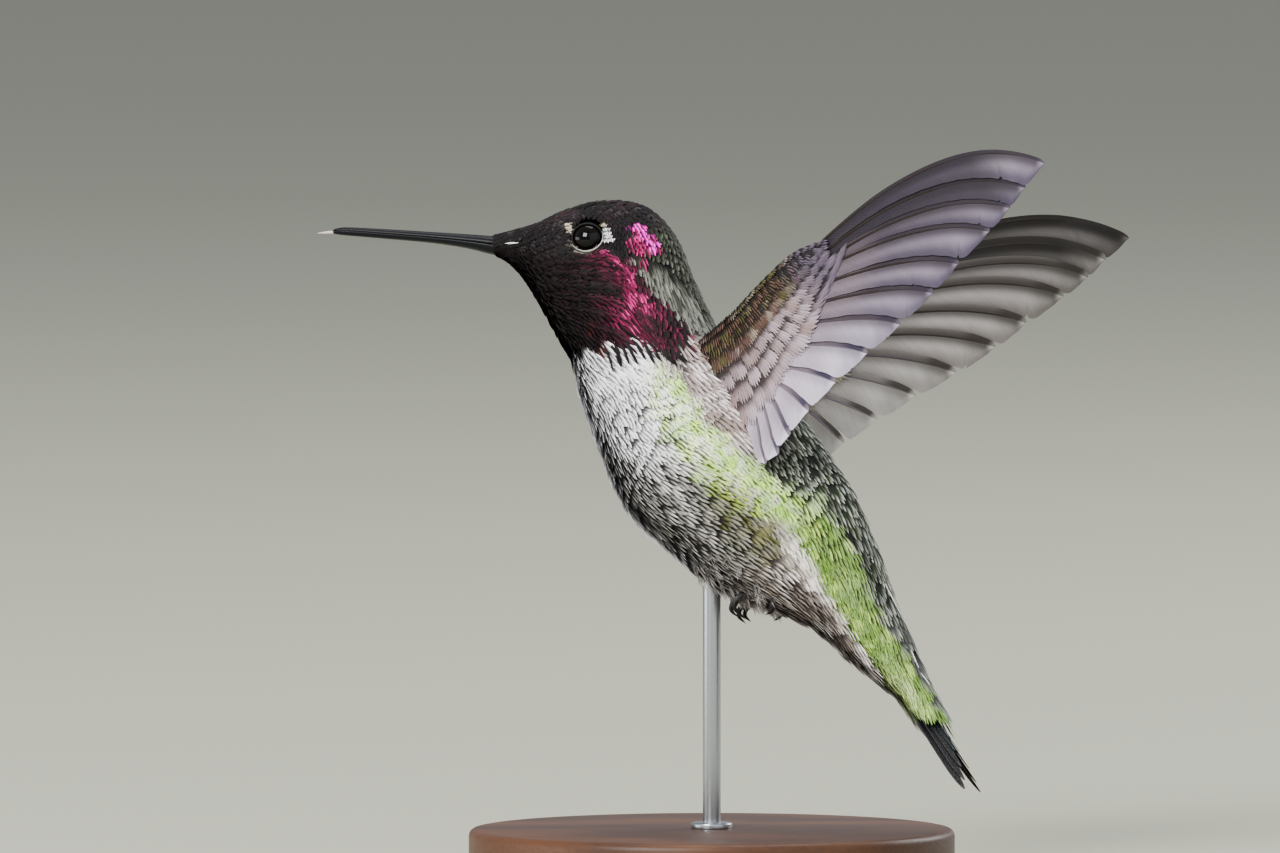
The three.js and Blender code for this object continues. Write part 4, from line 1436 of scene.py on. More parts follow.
@dataclass
class BodyCoat:
    """Small feathers in rows over head, neck, trunk and tail coverts.

    The shafts are the pale ones of the longest tail coverts, each as a range of stations and of falls.
    """

    body: BodyShape
    markings: Markings
    seed: int = 11
    eye: Pair = (-14.05, 70.12)
    eye_room: float = 1.9
    face_half_width: float = 2.5
    hood_end: float = 5.6
    neck_end: float = 7.9
    rump_start: float = 13.2
    back_edge: float = 0.33
    barb_gap: float = 0.38
    open_share: float = 0.78
    comb_gap: float = 0.0235
    armpit_count: int = 230
    down_count: int = 300
    shafts: tuple[tuple[Pair, Pair], ...] = (
        ((14.45, 15.35), (0.155, 0.1)), ((16.5, 17.2), (0.21, 0.23)), ((17.4, 17.9), (0.24, 0.2)),
    )
    slots: dict[str, str] = field(default_factory=lambda: {
        "feathers_head": "head_feathers", "feathers_neck": "neck_feathers",
        "feathers_rump": "covert_feathers",
    })

    def exposure(self, along: Array, across: Array) -> Array:
        """The distance between rows, which is larger on the gorget and smaller round the eye."""
        fall, place = self.body.fall(across), self.body.point(along, across)
        stations = [0, 1, 3, 5.5, 7, 9, 12, 15, 18]
        size = np.interp(along, stations, [0.32, 0.4, 0.5, 0.62, 0.78, 1.0, 1.25, 1.55, 1.9])
        gorget = smooth(fall, 0.4, 0.52) * window(along, 1.0, 4.0, 7.0, 8.0)
        back = smooth(fall, 0.4, 0.3) * smooth(along, 7.5, 9.5)
        gap = np.hypot(place[..., 0] - self.eye[0], place[..., 2] - self.eye[1])
        face = np.where(np.abs(place[..., 1]) > self.face_half_width, smooth(gap, 4.6, 1.8), 0.0)
        return size * (1 + 0.55 * gorget) * (1 + 0.1 * back) * (1 - 0.5 * face)

    def spacing(self, along: Array, across: Array) -> Array:
        """The distance between feathers of a row."""
        return self.exposure(along, across) * np.interp(along, [0, 5, 9, 18], [1.45, 1.45, 1.4, 1.3])

    def build(self, material: Finish) -> None:
        """Lays all the feathers and makes the pieces."""
        feathers = self._scattered()
        feathers = feathers.rows(self._round_the_eye(feathers))
        along, fall = feathers.along, self.body.fall(feathers.across)
        paint = self.markings.paint(self._shown(feathers), feathers.across)
        hood, rear = along < self.hood_end, along >= self.rump_start
        neck = ~hood & (along < self.neck_end)
        back = ~hood & ~neck & ~rear & (fall < self.back_edge)
        breast = ~hood & ~neck & ~rear & ~back
        ear = self._in_ear_streak(feathers)
        feathers.length = np.where(ear, feathers.length * 1.9, feathers.length)
        strands = np.clip(np.round(feathers.half_width / self.barb_gap - 0.5), 1, 6).astype(int)
        fine = Cut(fullness=0.7)
        soft, hair = replace(fine, ragged=0.07), Cut(fullness=0.62, ragged=0.1, sweep=0.95)
        coat = Coat(self.body, self.seed)
        for name, chosen, cut in (
            ("head", hood & ~ear, fine), ("neck", neck & ~ear, fine), ("back", back, fine),
            ("neck", ear, hair), ("breast", breast & ~ear, soft), ("rump", rear, fine),
        ):
            for barbs in np.unique(strands[chosen]):
                some = chosen & (strands == barbs)
                fitted = replace(cut, barbs=int(barbs))
                coat.lay(f"feathers_{name}", feathers.rows(some), paint.rows(some), fitted)
        self._comb(coat)
        self._armpits(coat)
        self._down(coat)
        self._lines()
        for name, batch in coat.batches.items():
            dressed(batch.build(name), self.slots.get(name, "trunk_feathers"), material)

    def _scattered(self) -> Feathers:
        """All the feathers of the rows, a little out of line."""
        ends = (-0.12, self.body.end - 0.15), (-math.pi, math.pi)
        along, across = Rows(self.body, *ends, self.exposure, self.spacing).roots()
        rng = np.random.default_rng(self.seed)
        count = len(along)
        by_along, by_across = (np.linalg.norm(way, axis=1) for way in self.body.tangents(along, across))
        loose = self.exposure(along, across) * np.interp(along, [5, 9], [0.07, 0.2])
        along = along + rng.normal(0, 1, count) * loose / by_along
        across = across + rng.normal(0, 0.6, count) * loose / np.maximum(by_across, 0.5)
        fall = self.body.fall(across)
        under_tail = smooth(along, 15.5, 17.0) * smooth(fall, 0.55, 0.75)
        lift = np.interp(along, [0, 4, 9, 14, 18], [0.05, 0.1, 0.2, 0.2, 0.14])
        return Feathers(
            along, across, half_width=self.spacing(along, across) * rng.uniform(0.55, 0.62, count),
            length=self.exposure(along, across) * rng.uniform(2.3, 3.0, count) * (1 + 0.3 * under_tail),
            lie=rng.normal(0, 0.045, count) - np.sign(np.sin(across)) * self._turn(along, fall),
            lift=lift * rng.uniform(0.5, 1.5, count),
            depth=np.interp(along, [0, 2, 5, 9, 18], [0.1, 0.25, 0.4, 0.5, 0.45]),
        )

    def _in_ear_streak(self, feathers: Feathers) -> Array:
        """Which feathers are the hair-like ones of the grey streak behind the gorget."""
        shown, fall = self._shown(feathers), self.body.fall(feathers.across) + 0.02
        inside = (fall > self.markings.ear_high.at(shown)) & (fall < self.markings.gorget_high.at(shown))
        return inside & (shown > 5.8) & (shown < 7.9)

    @staticmethod
    def _turn(along: Array, fall: Array) -> Array:
        """How far feathers are turned from the body's own lines towards the back, in radians."""
        gorget = window(along, 2.0, 4.0, 6.9, 7.9) * window(fall, 0.36, 0.5, 0.8, 1.0)
        breast = window(along, 6.9, 7.9, 10.0, 12.0) * window(fall, 0.35, 0.5, 0.8, 1.0)
        belly = window(along, 8.5, 9.8, 12.0, 13.0) * window(fall, 0.45, 0.55, 0.8, 1.0)
        rump = smooth(along, 11.0, 12.5) * window(fall, 0.26, 0.34, 0.5, 0.6)
        return np.radians(36.0 * gorget + 14.0 * breast + 9.0 * belly - 12.0 * rump)

    def _shown(self, feathers: Feathers) -> Array:
        """The station where the open part of each feather lies."""
        by_along, _ = self.body.tangents(feathers.along, feathers.across)
        return feathers.along + self.open_share * feathers.length / np.linalg.norm(by_along, axis=1)

    def _lines(self) -> None:
        """Adds the pale line at each corner of the gape and the pale shafts of the longest tail coverts."""
        white = Plain("pale_shaft", "f4f2ee", 0.1, 0.45).make()
        for side in Side:
            path = self.body.path((1.0, 1.75), (0.5, 0.495), side, 0.2)
            gape = Tube(path, (0.01, 0.07, 0.1, 0.07, 0.01), 10, 24)
            dressed(gape.build(f"gape_line_{side.word}"), "head_feathers", white)
            paths = [self.body.path(*ends, side, 0.38) for ends in self.shafts]
            shafts = [Tube(path, (0.02, 0.06, 0.05, 0.02), 8, 20).build("shaft") for path in paths]
            dressed(joined(f"covert_shafts_{side.word}", shafts), "covert_feathers", white)

    @staticmethod
    def _tufts(rng: np.random.Generator, along: Array, across: Array, half_width: Pair,
               length: Pair, loose: float, turn: float, lift: Pair,
               depth: float) -> Feathers:
        """Feathers that stand out from the rows.

        Args:
            rng: What varies them.
            along: The station of each root.
            across: Its angle.
            half_width: The least and the greatest half width.
            length: The least and the greatest length.
            loose: How much they scatter in their lie, in radians.
            turn: How many degrees they are turned towards the back.
            lift: The least and the greatest lift of the tip.
            depth: How far the root lies under the surface.

        Returns:
            The feathers.
        """
        count = len(along)
        return Feathers(
            along, across, half_width=rng.uniform(*half_width, count), length=rng.uniform(*length, count),
            lie=rng.normal(0, loose, count) - np.sign(across) * math.radians(turn),
            lift=rng.uniform(*lift, count), depth=np.full(count, depth),
        )

    def _comb(self, coat: Coat) -> None:
        """Adds the black fringe that hangs from the gorget's lower rear edge over the white breast."""
        rng = np.random.default_rng(self.seed + 1)
        fall = np.arange(0.3, 0.62, self.comb_gap)
        fall = np.tile(fall + rng.normal(0, 0.004, len(fall)), 2)
        count = len(fall)
        across = fall * math.pi * np.repeat([1, -1], count // 2)
        along = self.markings.hood_low.reach(fall) - 0.16 + rng.normal(0, 0.015, count)
        feathers = self._tufts(rng, along, across, (0.2, 0.27), (2.4, 3.0), 0.05, 4.0, (0.6, 0.8), -0.25)
        fringe = blended("3a1019", "050304", smooth(fall, 0.3, 0.36))
        centre = np.tile(linear("14070b"), (count, 1))
        paint = Paint(centre, fringe, np.full(count, 0.15), np.full(count, 0.4))
        cut = Cut(barbs=0, fullness=0.5, sweep=0.95, steps=5, variety=0.2)
        coat.lay("feathers_neck", feathers, paint, cut)

    def _armpits(self, coat: Coat) -> None:
        """Adds the long hair-like feathers that stream down and back from under each wing."""
        rng = np.random.default_rng(self.seed + 2)
        count = self.armpit_count
        along = rng.uniform(7.5, 9.7, count)
        fall = rng.uniform(0.24, 0.32, count) + 0.13 * smooth(along, 7.4, 8.4) * rng.uniform(0, 1, count)
        across = np.where(np.arange(count) % 2, 1, -1) * fall * math.pi
        feathers = self._tufts(rng, along, across, (0.7, 1.05), (3.6, 5.4), 0.12, 8.0, (0.25, 0.8), 0.3)
        fringe = blended("8f807a", "ddd2d5", smooth(rng.uniform(0, 1, count), 0.25, 0.9))
        paint = Paint(fringe * 0.25, fringe, np.zeros(count), np.full(count, 0.7))
        cut = Cut(barbs=2, fullness=0.6, sweep=0.9, ragged=0.08, steps=6)
        coat.lay("feathers_armpits", feathers, paint, cut)

    def _down(self, coat: Coat) -> None:
        """Adds loose white down about the feet and the vent."""
        rng = np.random.default_rng(self.seed + 3)
        count = self.down_count
        along = rng.uniform(11.3, 13.4, count)
        across = math.pi + rng.normal(0, 0.42, count)
        feathers = self._tufts(rng, along, across, (0.3, 0.6), (1.3, 2.3), 0.5, 0.0, (0.3, 1.1), 0.3)
        fringe = blended("b3aaa6", "f0ebe9", rng.uniform(0, 1, count))
        paint = Paint(fringe * 0.5, fringe, np.zeros(count), np.full(count, 0.8))
        cut = Cut(barbs=2, fullness=0.22, sweep=0.8, ragged=0.3, twist=0.8)
        coat.lay("feathers_down", feathers, paint, cut)

    def _round_the_eye(self, feathers: Feathers) -> Array:
        """Turns feathers so that they stream round each eye, and shortens those before it.

        Args:
            feathers: All the feathers of the rows; their lie, length and lift are changed.

        Returns:
            Which of them are kept, because they stand outside the eyes.
        """
        flow, side, _ = self.body.lie(feathers.along, feathers.across)
        place = self.body.point(feathers.along, feathers.across)
        gap = place[:, (0, 2)] - np.array(self.eye)
        ahead, beside = dot(gap, flow[:, (0, 2)]), dot(gap, side[:, (0, 2)])
        square = np.maximum(ahead ** 2 + beside ** 2, 1e-6)
        room = self.eye_room ** 2
        near = (np.abs(place[:, 1]) > self.face_half_width) & (square < 16 * room)
        part = room / square ** 2
        turn = np.arctan2(-2 * part * ahead * beside, 1 - part * (ahead ** 2 - beside ** 2))
        feathers.lie += np.where(near, turn, 0.0)
        before = near & (ahead < 0) & (np.abs(beside) < self.eye_room)
        reach = np.maximum(0.1 - ahead - np.sqrt(np.maximum(room - beside ** 2, 0)), 0.35)
        feathers.length = np.where(before, np.minimum(feathers.length, reach), feathers.length)
        feathers.lift = feathers.lift * np.where(near & (square < 2.56 * room), 0.3, 1.0)
        return ~(near & (square < room))


# ---- Eyes ----


@dataclass
class Eyes:
    """The two eyeballs, each in a ring of lid with a pale line along its lower and rear edge.

    The cheek says how far out the coat stands at the rim: level with the eye, ahead of it and above it.
    """

    centre: Triple = (-14.05, 4.35, 70.12)
    radius: float = 1.95
    opening: Pair = (1.58, 1.4)
    lid_width: float = 0.13
    line_radii: Values = (0.01, 0.055, 0.08, 0.075, 0.05, 0.01)
    cheek: Triple = (1.4, 0.165, -0.545)

    def build(self) -> None:
        """Makes both eyes."""
        lid = Horn("lid_skin", "050505", "151416", 0.5).make()
        pale = Plain("lid_line", "a9a6a1", 0.2).make()
        for side in Side:
            centre = side.mirrored(self.centre)
            gloss = EyeGloss(tuple(BANK.place(centre))).make(f"eye_{side.word}_gloss")
            ball = primitive(
                bpy.ops.mesh.primitive_uv_sphere_add, f"eyeball_{side.word}", segments=64, ring_count=32,
                radius=self.radius * MM,
            )
            move_points(ball, BANK.place(points_of(ball)[:, (0, 2, 1)] / MM + centre))
            edit(ball, face_out)
            dressed(ball, "eye", gloss, f"eye_{side.word}")
            ring = formed(
                f"eyelid_{side.word}", (64, 12), lambda turn, lip, of=side: self._lid(turn, lip, of),
            )
            dressed(ring, "head_feathers", lid)
            line = Tube(self._pale_arc(side), self.line_radii, 10, 60, (0.3, 0.9, 0.3))
            dressed(line.build(f"eyelid_line_{side.word}"), "head_feathers", pale)

    def _ring(self, side: Side, angle: Array, out: Array | float, height: Array | float) -> Array:
        """Points round the lids' opening, at distances out from its rim and heights off the ball.

        Args:
            side: Which eye.
            angle: How far round, from behind the eye upwards.
            out: The distance from the rim.
            height: The height off the ball's surface at the rim.

        Returns:
            A point for each angle.
        """
        cos, sin = np.cos(angle), np.sin(angle)
        rim = np.sqrt(self.radius ** 2 - (self.opening[0] * cos) ** 2 - (self.opening[1] * sin) ** 2)
        x, z = (self.opening[0] + out) * cos, (self.opening[1] + out) * sin
        return side.mirrored(np.stack([x, rim + height, z], axis=-1) + self.centre)

    def _pale_arc(self, side: Side) -> tuple[Triple, ...]:
        """The path of the pale line, which stands clear of both the lid and the cheek."""
        angle = np.radians(np.linspace(-150, 25, 13))
        level, ahead, above = self.cheek
        arc = self._ring(side, angle, self.lid_width * 2.0, 0.2)
        coat = self.centre[1] + level + ahead * np.cos(angle) + above * np.sin(angle) + 0.22
        arc[:, 1] = side.value * np.maximum(np.abs(arc[:, 1]), coat)
        return tuples(arc)

    def _lid(self, turn: Array, round_lip: Array, side: Side) -> Array:
        """A point of the lid's ring: a round lip that lies on the ball round the opening."""
        lip = round_lip * 2 * math.pi
        out = self.lid_width * (1 + np.cos(lip) * 0.9)
        return self._ring(side, turn * 2 * math.pi, out, 0.14 * np.sin(lip) + 0.04)


# ---- Long feathers ----


@dataclass
class LongFeathers:
    """Flight or tail feathers that are gathered into one piece.

    Attributes:
        count: How many strips the flat map for baking has.
        columns: Where the vane's points stand from edge to edge, from -1 to 1 with the shaft at 0.
        thickness: How thick the vane is at the shaft.
        shaft_sides: How many sides the shaft has.
    """

    count: int
    columns: Values
    thickness: float
    shaft_sides: int = 6
    batch: Batch = field(default_factory=Batch)

    def add_vane(self, number: int, share: Array, reach: Array, along: Array, up: Array,
                 place: Callable[[Array], Array], tint: Callable[[int], Array]) -> None:
        """Adds the two faces of one feather's vane.

        Args:
            number: Which feather it is.
            share: Shares of the feather's length.
            reach: How far each point lies from the shaft, a row for each share.
            along: How far along the shaft it lies.
            up: The direction that the upper face looks in.
            place: Gives the points at heights off the vane's middle.
            tint: Gives the colours of the upper face, 1, or of the lower one, -1.
        """
        columns = np.array(self.columns)
        slim = np.interp(np.abs(columns), [0, 0.8, 1], [1, 0.8, 0.1]) * self.thickness / 2
        lane = (number + 0.05 + 0.9 * np.clip((columns + 1) / 2, 0.02, 0.98)) / self.count
        unwrap = np.stack(np.broadcast_arrays(lane, np.maximum(share, 0)[:, None]), axis=-1).reshape(-1, 2)
        for face in (1, -1):
            points = place(face * slim).reshape(-1, 3)
            run = np.stack(np.broadcast_arrays(reach, along, float(face)), axis=-1).reshape(-1, 3)
            faces = facing(points, grid_faces(*reach.shape), up * face)
            self.batch.add(points, faces, unwrap, tint=coloured(tint(face)), run=run)

    def add_shaft(self, number: int, share: Array, along: Array, radius: Array,
                  place: Callable[[Array, Array], Array], tint: Array) -> None:
        """Adds one feather's shaft.

        Args:
            number: Which feather it is.
            share: Shares of the feather's length.
            along: How far along each of them lies.
            radius: The shaft's radius there.
            place: Gives the points at distances beside the shaft's middle and heights off it.
            tint: Its colour.
        """
        angle = np.linspace(0, 2 * math.pi, self.shaft_sides + 1)
        beside, height = np.cos(angle) * radius[:, None], np.sin(angle) * radius[:, None] * 0.9
        points = place(beside, height).reshape(-1, 3)
        run, unwrap = np.zeros((len(points), 3)), np.full((len(points), 2), (number + 0.5) / self.count)
        run[:, 1] = np.repeat(along, len(angle))
        unwrap[:, 1] = np.repeat(np.maximum(share, 0), len(angle))
        colours = coloured(np.tile(tint, (len(points), 1)))
        self.batch.add(points, grid_faces(len(share), len(angle)), unwrap, tint=colours, run=run)


# ---- Wings ----


@dataclass(frozen=True)
class WingPlane:
    """The cambered sheet of a wing, read by its lengths outwards and back.

    Heights are towards the wing's upper side.
    """

    side: Side
    out: Triple
    back: Triple
    shoulder: Triple = (-0.4, 6.5, 58.1)
    camber: float = 1.1
    span: float = 52.1
    tip_flatness: float = 0.6
    front_edge: float = -5.0
    root_chord: float = 20.0
    taper: float = 0.27

    def axes(self) -> tuple[Array, Array, Array]:
        """Outwards, back and up out of the wing's upper side."""
        out, back = unit(np.array(self.out)), np.array(self.back)
        back = unit(back - out * (out @ back))
        return out, back, -self.side.value * np.cross(out, back)

    def place(self, flat: Array, height: Array | float) -> Array:
        """Points of the wing from rows of outward and back lengths, and heights off the sheet."""
        out, back, up = self.axes()
        u, v = flat[..., 0], flat[..., 1]
        across = np.clip((v - self.front_edge) / (self.root_chord - self.taper * u), 0, 1)
        rise = self.camber * (1 - self.tip_flatness * u / self.span) * 4 * across * (1 - across) + height
        start = self.side.mirrored(self.shoulder)
        return start + u[..., None] * out + v[..., None] * back + rise[..., None] * up


LEFT_WING = WingPlane(Side.LEFT, (0.794, -0.528, 0.302), (0.27, -0.14, -0.952))
RIGHT_WING = WingPlane(Side.RIGHT, (0.804, 0.508, 0.31), (0.23, 0.214, -0.949))


@dataclass(frozen=True)
class Quill:
    """The shaft of a flight feather on the wing's flat plan, in outward and back lengths.

    Attributes:
        start: Its root.
        end: Its tip.
        bow: How far it bows, as a share of its length.
        dusk: How dark its vane is, from 0 to 1.
        clear: How much of its tip is free of that, in millimetres.
    """

    start: Pair
    end: Pair
    bow: float
    dusk: float = 0.0
    clear: float = 0.0

    def line(self, share: Array) -> Array:
        """Points of the shaft at shares of its length."""
        start, end = np.array(self.start), np.array(self.end)
        run = end - start
        control = start + run * 0.64 + 2 * self.bow * np.array([run[1], -run[0]])
        t = share[:, None]
        return (1 - t) ** 2 * start + 2 * t * (1 - t) * control + t ** 2 * end


QUILLS = (
    Quill((19.6, -4.7), (52.1, -1.2), 0.118, 1.0, 6.0), Quill((20.3, -3.7), (48.7, 0.4), 0.1, 1.0),
    Quill((20.7, -2.8), (46.1, 1.8), 0.085, 0.4, 4.0), Quill((20.9, -1.9), (42.6, 3.2), 0.07, 0.25, 4.0),
    Quill((19.2, -0.2), (37.4, 5.0), 0.055), Quill((17.1, 1.5), (33.0, 6.7), 0.045),
    Quill((14.2, 2.9), (27.5, 8.3), 0.04), Quill((11.5, 4.3), (22.0, 9.6), 0.03),
    Quill((9.2, 6.0), (16.7, 11.0), 0.02), Quill((7.8, 7.2), (12.1, 12.6), 0.01),
    Quill((6.6, 8.3), (8.6, 14.2), 0.0), Quill((5.5, 9.3), (6.4, 15.6), 0.0),
    Quill((4.2, 10.3), (4.4, 15.9), 0.0), Quill((2.6, 11.5), (3.2, 14.9), 0.0),
)


@dataclass(frozen=True)
class VaneTints:
    """The colours of one face of the flight feathers, and how much of the pale tips it shows."""

    shaft: str
    lead: str
    near: str
    far: str
    smudge: str
    dusk: str
    base: str
    inner: str
    clears: float = 1.0


UNDER_TINTS = VaneTints("2a2127", "3b3341", "857b8c", "4a4252", "2f2b48", "221c26", "7a6a72", "e3d6ee")
UPPER_TINTS = VaneTints("29231f", "6c6663", "b5b0b0", "827b79", "393432", "161311", "4c4543", "d4cfcf", -1.0)


@dataclass
class FlightFeathers:
    """The primaries and secondaries of one wing, as one piece.

    The last of the quills only bounds the innermost feather.
    """

    plane: WingPlane
    rows: int = 76
    columns: Values = (
        -1.0, -0.7, -0.35, -0.08, 0.05, 0.1, 0.17, 0.25, 0.34, 0.46, 0.62, 0.78, 0.9, 1.0,
    )
    thickness: float = 0.07
    overlap: float = -0.1
    root: float = 0.08
    bulge: float = 0.14
    corner: int = 12
    slide: float = 0.3
    louvre: float = 0.085
    cup: float = 0.012
    waviness: float = 0.02
    dark_shaft: str = "1f1614"
    pale_shaft: str = "6f6470"

    def build(self, material: Finish) -> Piece:
        """Makes the piece."""
        feathers = LongFeathers(len(QUILLS), self.columns, self.thickness)
        share = 1 - (1 + self.root) * (1 - np.linspace(0, 1, self.rows)) ** 1.35
        lines = [quill.line(share) for quill in QUILLS]
        for number in range(len(QUILLS) - 1):
            self._add(feathers, number, share, lines[number], lines[number + 1])
        side = self.plane.side.word
        names = [f"primary_{count}" for count in range(10, 0, -1)]
        names += [f"secondary_{place}" for place in ("outer", "middle", "inner")]
        piece = feathers.batch.build(f"flight_feathers_{side}")
        return dressed(piece, "flight_feathers", material, *(f"wing_{side}_{name}" for name in names))

    def _widths(self, number: int, share: Array, line: Array, after: Array, slant: Array,
                length: float) -> tuple[Array, Array]:
        """How far the vane reaches before and behind the shaft.

        Args:
            number: Which feather it is.
            share: Shares of its length.
            line: The shaft at those shares.
            after: The next shaft.
            slant: Which way the trailing vane reaches from there.
            length: The shaft's length.

        Returns:
            The leading and the trailing vane's widths.
        """
        gaps = np.linalg.norm(line[:, None] - after[None], axis=-1)
        nearest, gap = gaps.argmin(axis=1), gaps.min(axis=1)
        last = np.flatnonzero(nearest < len(after) - 2).max()
        before = max(last - 12, 0)
        slope = (gap[last] - gap[before]) / max(share[last] - share[before], 1e-6)
        past_end = np.arange(len(share)) > last
        gap = np.where(past_end, gap[last] + 0.5 * slope * (share - share[last]), gap)
        lead = np.interp(share, [0, 0.2, 0.7, 1], [0.35, 0.75, 0.85, 0.6]) * min(1.0, 0.55 + length / 45)
        if number == 0:
            lead = lead * 0.55
        trail = gap - 0.45 * lead + self.overlap
        run = after[-1] - line[-1]
        ahead = unit(np.array([-run[1], run[0]]))
        ahead = ahead * np.sign((line[-1] - line[0]) @ ahead)
        to_cut = (line[-1] - line) @ ahead / np.maximum(slant @ ahead, 0.12)
        to_cut = to_cut + self.bulge * np.sqrt(np.clip((1 - share) * length, 0, 4))
        powers = np.maximum(trail, 0.05) ** -self.corner + np.maximum(to_cut, 0.01) ** -self.corner
        start = 1 - min(0.3, 1.6 / length)
        round_off = np.sqrt(1 - np.clip((share - start) / (1 - start), 0, 1) ** 2)
        split = np.random.default_rng(40 + number).uniform(0.5, 0.85)
        notch = 0.12 * np.exp(-((share - split) / 0.006) ** 2)
        wave = 1 + 0.012 * np.sin(share * length * 2.1 + number)
        trail = powers ** (-1 / self.corner) * round_off * wave * (1 - notch) + 0.02
        return lead * np.maximum(round_off, 0.02), trail

    def _add(self, feathers: LongFeathers, number: int, share: Array, line: Array, after: Array) -> None:
        """Adds one feather.

        Args:
            feathers: What it is added to.
            number: Which one it is.
            share: Shares of its length.
            line: Its shaft at those shares.
            after: The next shaft.
        """
        length = float(np.linalg.norm(np.diff(line, axis=0), axis=1).sum())
        way = unit(np.gradient(line, axis=0))[:, None]
        behind = np.stack([-way[..., 1], way[..., 0]], axis=-1)
        forward = self.slide * smooth(share, 0.0, 0.2)[:, None, None]
        slant = (behind + way * forward)[:, 0]
        lead, trail = self._widths(number, share, line, after, slant, length)
        columns = np.array(self.columns)
        reach = np.where(columns < 0, columns * lead[:, None], columns * trail[:, None])
        flat = line[:, None] + behind * reach[..., None] + way * forward * np.abs(reach)[..., None]
        along = share * length
        height = self.waviness * np.sin(along * 0.5 + number)[:, None] - self.louvre * reach
        height -= self.cup * reach ** 2 * (columns > 0)
        feathers.add_vane(
            number, share, reach, along[:, None], self.plane.axes()[2],
            lambda lift: self.plane.place(flat, height + lift),
            lambda face: self._tint(face, QUILLS[number], reach, along, length),
        )
        feathers.add_shaft(
            number, share, along, np.interp(share, [0, 0.15, 0.6, 1], [0.2, 0.17, 0.1, 0.03]),
            lambda beside, lift: self.plane.place(line[:, None] + behind * beside[..., None], lift),
            blended(self.dark_shaft, self.pale_shaft, smooth(length, 20.0, 8.0)),
        )

    def _tint(self, face: int, quill: Quill, reach: Array, along: Array, length: float) -> Array:
        """The colour of each point of one face.

        Args:
            face: 1 for the upper face and -1 for the lower one.
            quill: The feather.
            reach: How far each point lies from the shaft, a row for each place along it.
            along: Those places.
            length: The feather's length.

        Returns:
            A colour for each point.
        """
        tints = UPPER_TINTS if face > 0 else UNDER_TINTS
        columns, behind = np.array(self.columns), reach > 0
        to_tip, short = (length - along)[:, None], smooth(length, 20.0, 8.0)
        clear = quill.clear * tints.clears
        dusky = quill.dusk * smooth(to_tip, clear - 3.0 * (clear == 0), clear + 9.0)
        colour = np.broadcast_to(linear(tints.near), (*reach.shape, 3))
        for tone, share in (
            (tints.far, smooth(columns, 0.3, 0.9) * behind),
            (tints.inner, 0.9 * smooth(length, 20.0, 9.0) * behind),
            (tints.lead, np.where(behind, 0.0, 0.9 - 0.6 * short)),
            (tints.smudge, smooth(to_tip, 7.0, 4.0) * smooth(to_tip, 0.6, 1.8) * np.where(behind, 0.25, 0.9)),
            (tints.shaft, smooth(np.abs(reach), 1.5, 0.2) * (0.85 - 0.55 * short) * smooth(to_tip, 0.3, 2.0)),
            (tints.base, smooth(along, 6.5, 2.0)[:, None] * 0.4),
            (tints.dusk, dusky * (0.7 + 0.3 * smooth(np.abs(reach), 2.2, 0.3))),
        ):
            colour = blended(colour, tone, share)
        return colour


@dataclass
class WingSleeve(Surface):
    """One face of the fleshy front of a wing, read by share of the chord and share of the arm's length."""

    plane: WingPlane = LEFT_WING
    face: int = 1
    front: tuple[Pair, ...] = (
        (-1.4, -1.0), (4.5, -2.2), (10.3, -3.9), (15.5, -5.0), (19.2, -4.7),
    )
    rear: tuple[Pair, ...] = (
        (2.4, 10.9), (5.9, 8.4), (10.2, 4.8), (15.4, 2.2), (20.3, -2.2),
    )
    thickness: Triple = (2.4, 1.6, 0.9)
    wrist: float = 0.75
    rear_height: float = 0.22

    def point(self, along: Array, across: Array) -> Array:
        """The surface's points."""
        place = across * (len(self.front) - 1)
        front, rear = (catmull_rom(np.array(edge), place) for edge in (self.front, self.rear))
        thick = np.interp(across, [0, self.wrist, 1], self.thickness)
        chord = [-0.1, 0, 0.04, 0.14, 0.35, 0.7, 1, 1.6]
        profile = np.interp(along, chord, [0, 0.15, 0.7, 1, 0.8, 0.45, 0.0, 0.0])
        height = np.maximum(thick / 2 * profile + 0.12, self.rear_height * smooth(along, 0.5, 0.9))
        return self.plane.place(front + (rear - front) * along[..., None], self.face * height)

    def outward(self, by_along: Array, by_across: Array) -> Array:
        """The unit normal on this face's own side."""
        normal = unit(np.cross(by_along, by_across))
        return normal * np.sign(normal @ (self.plane.axes()[2] * self.face))[..., None]

    def flat(self, along: Array, across: Array) -> Array:
        """The place on the flat map for baking."""
        half = 0.0 if self.face > 0 else 0.5
        x, y = half + 0.01 + 0.46 * np.clip(across, 0, 1), 0.05 + 0.85 * np.clip(along, 0, 1.1)
        return np.stack([x, y], axis=-1)


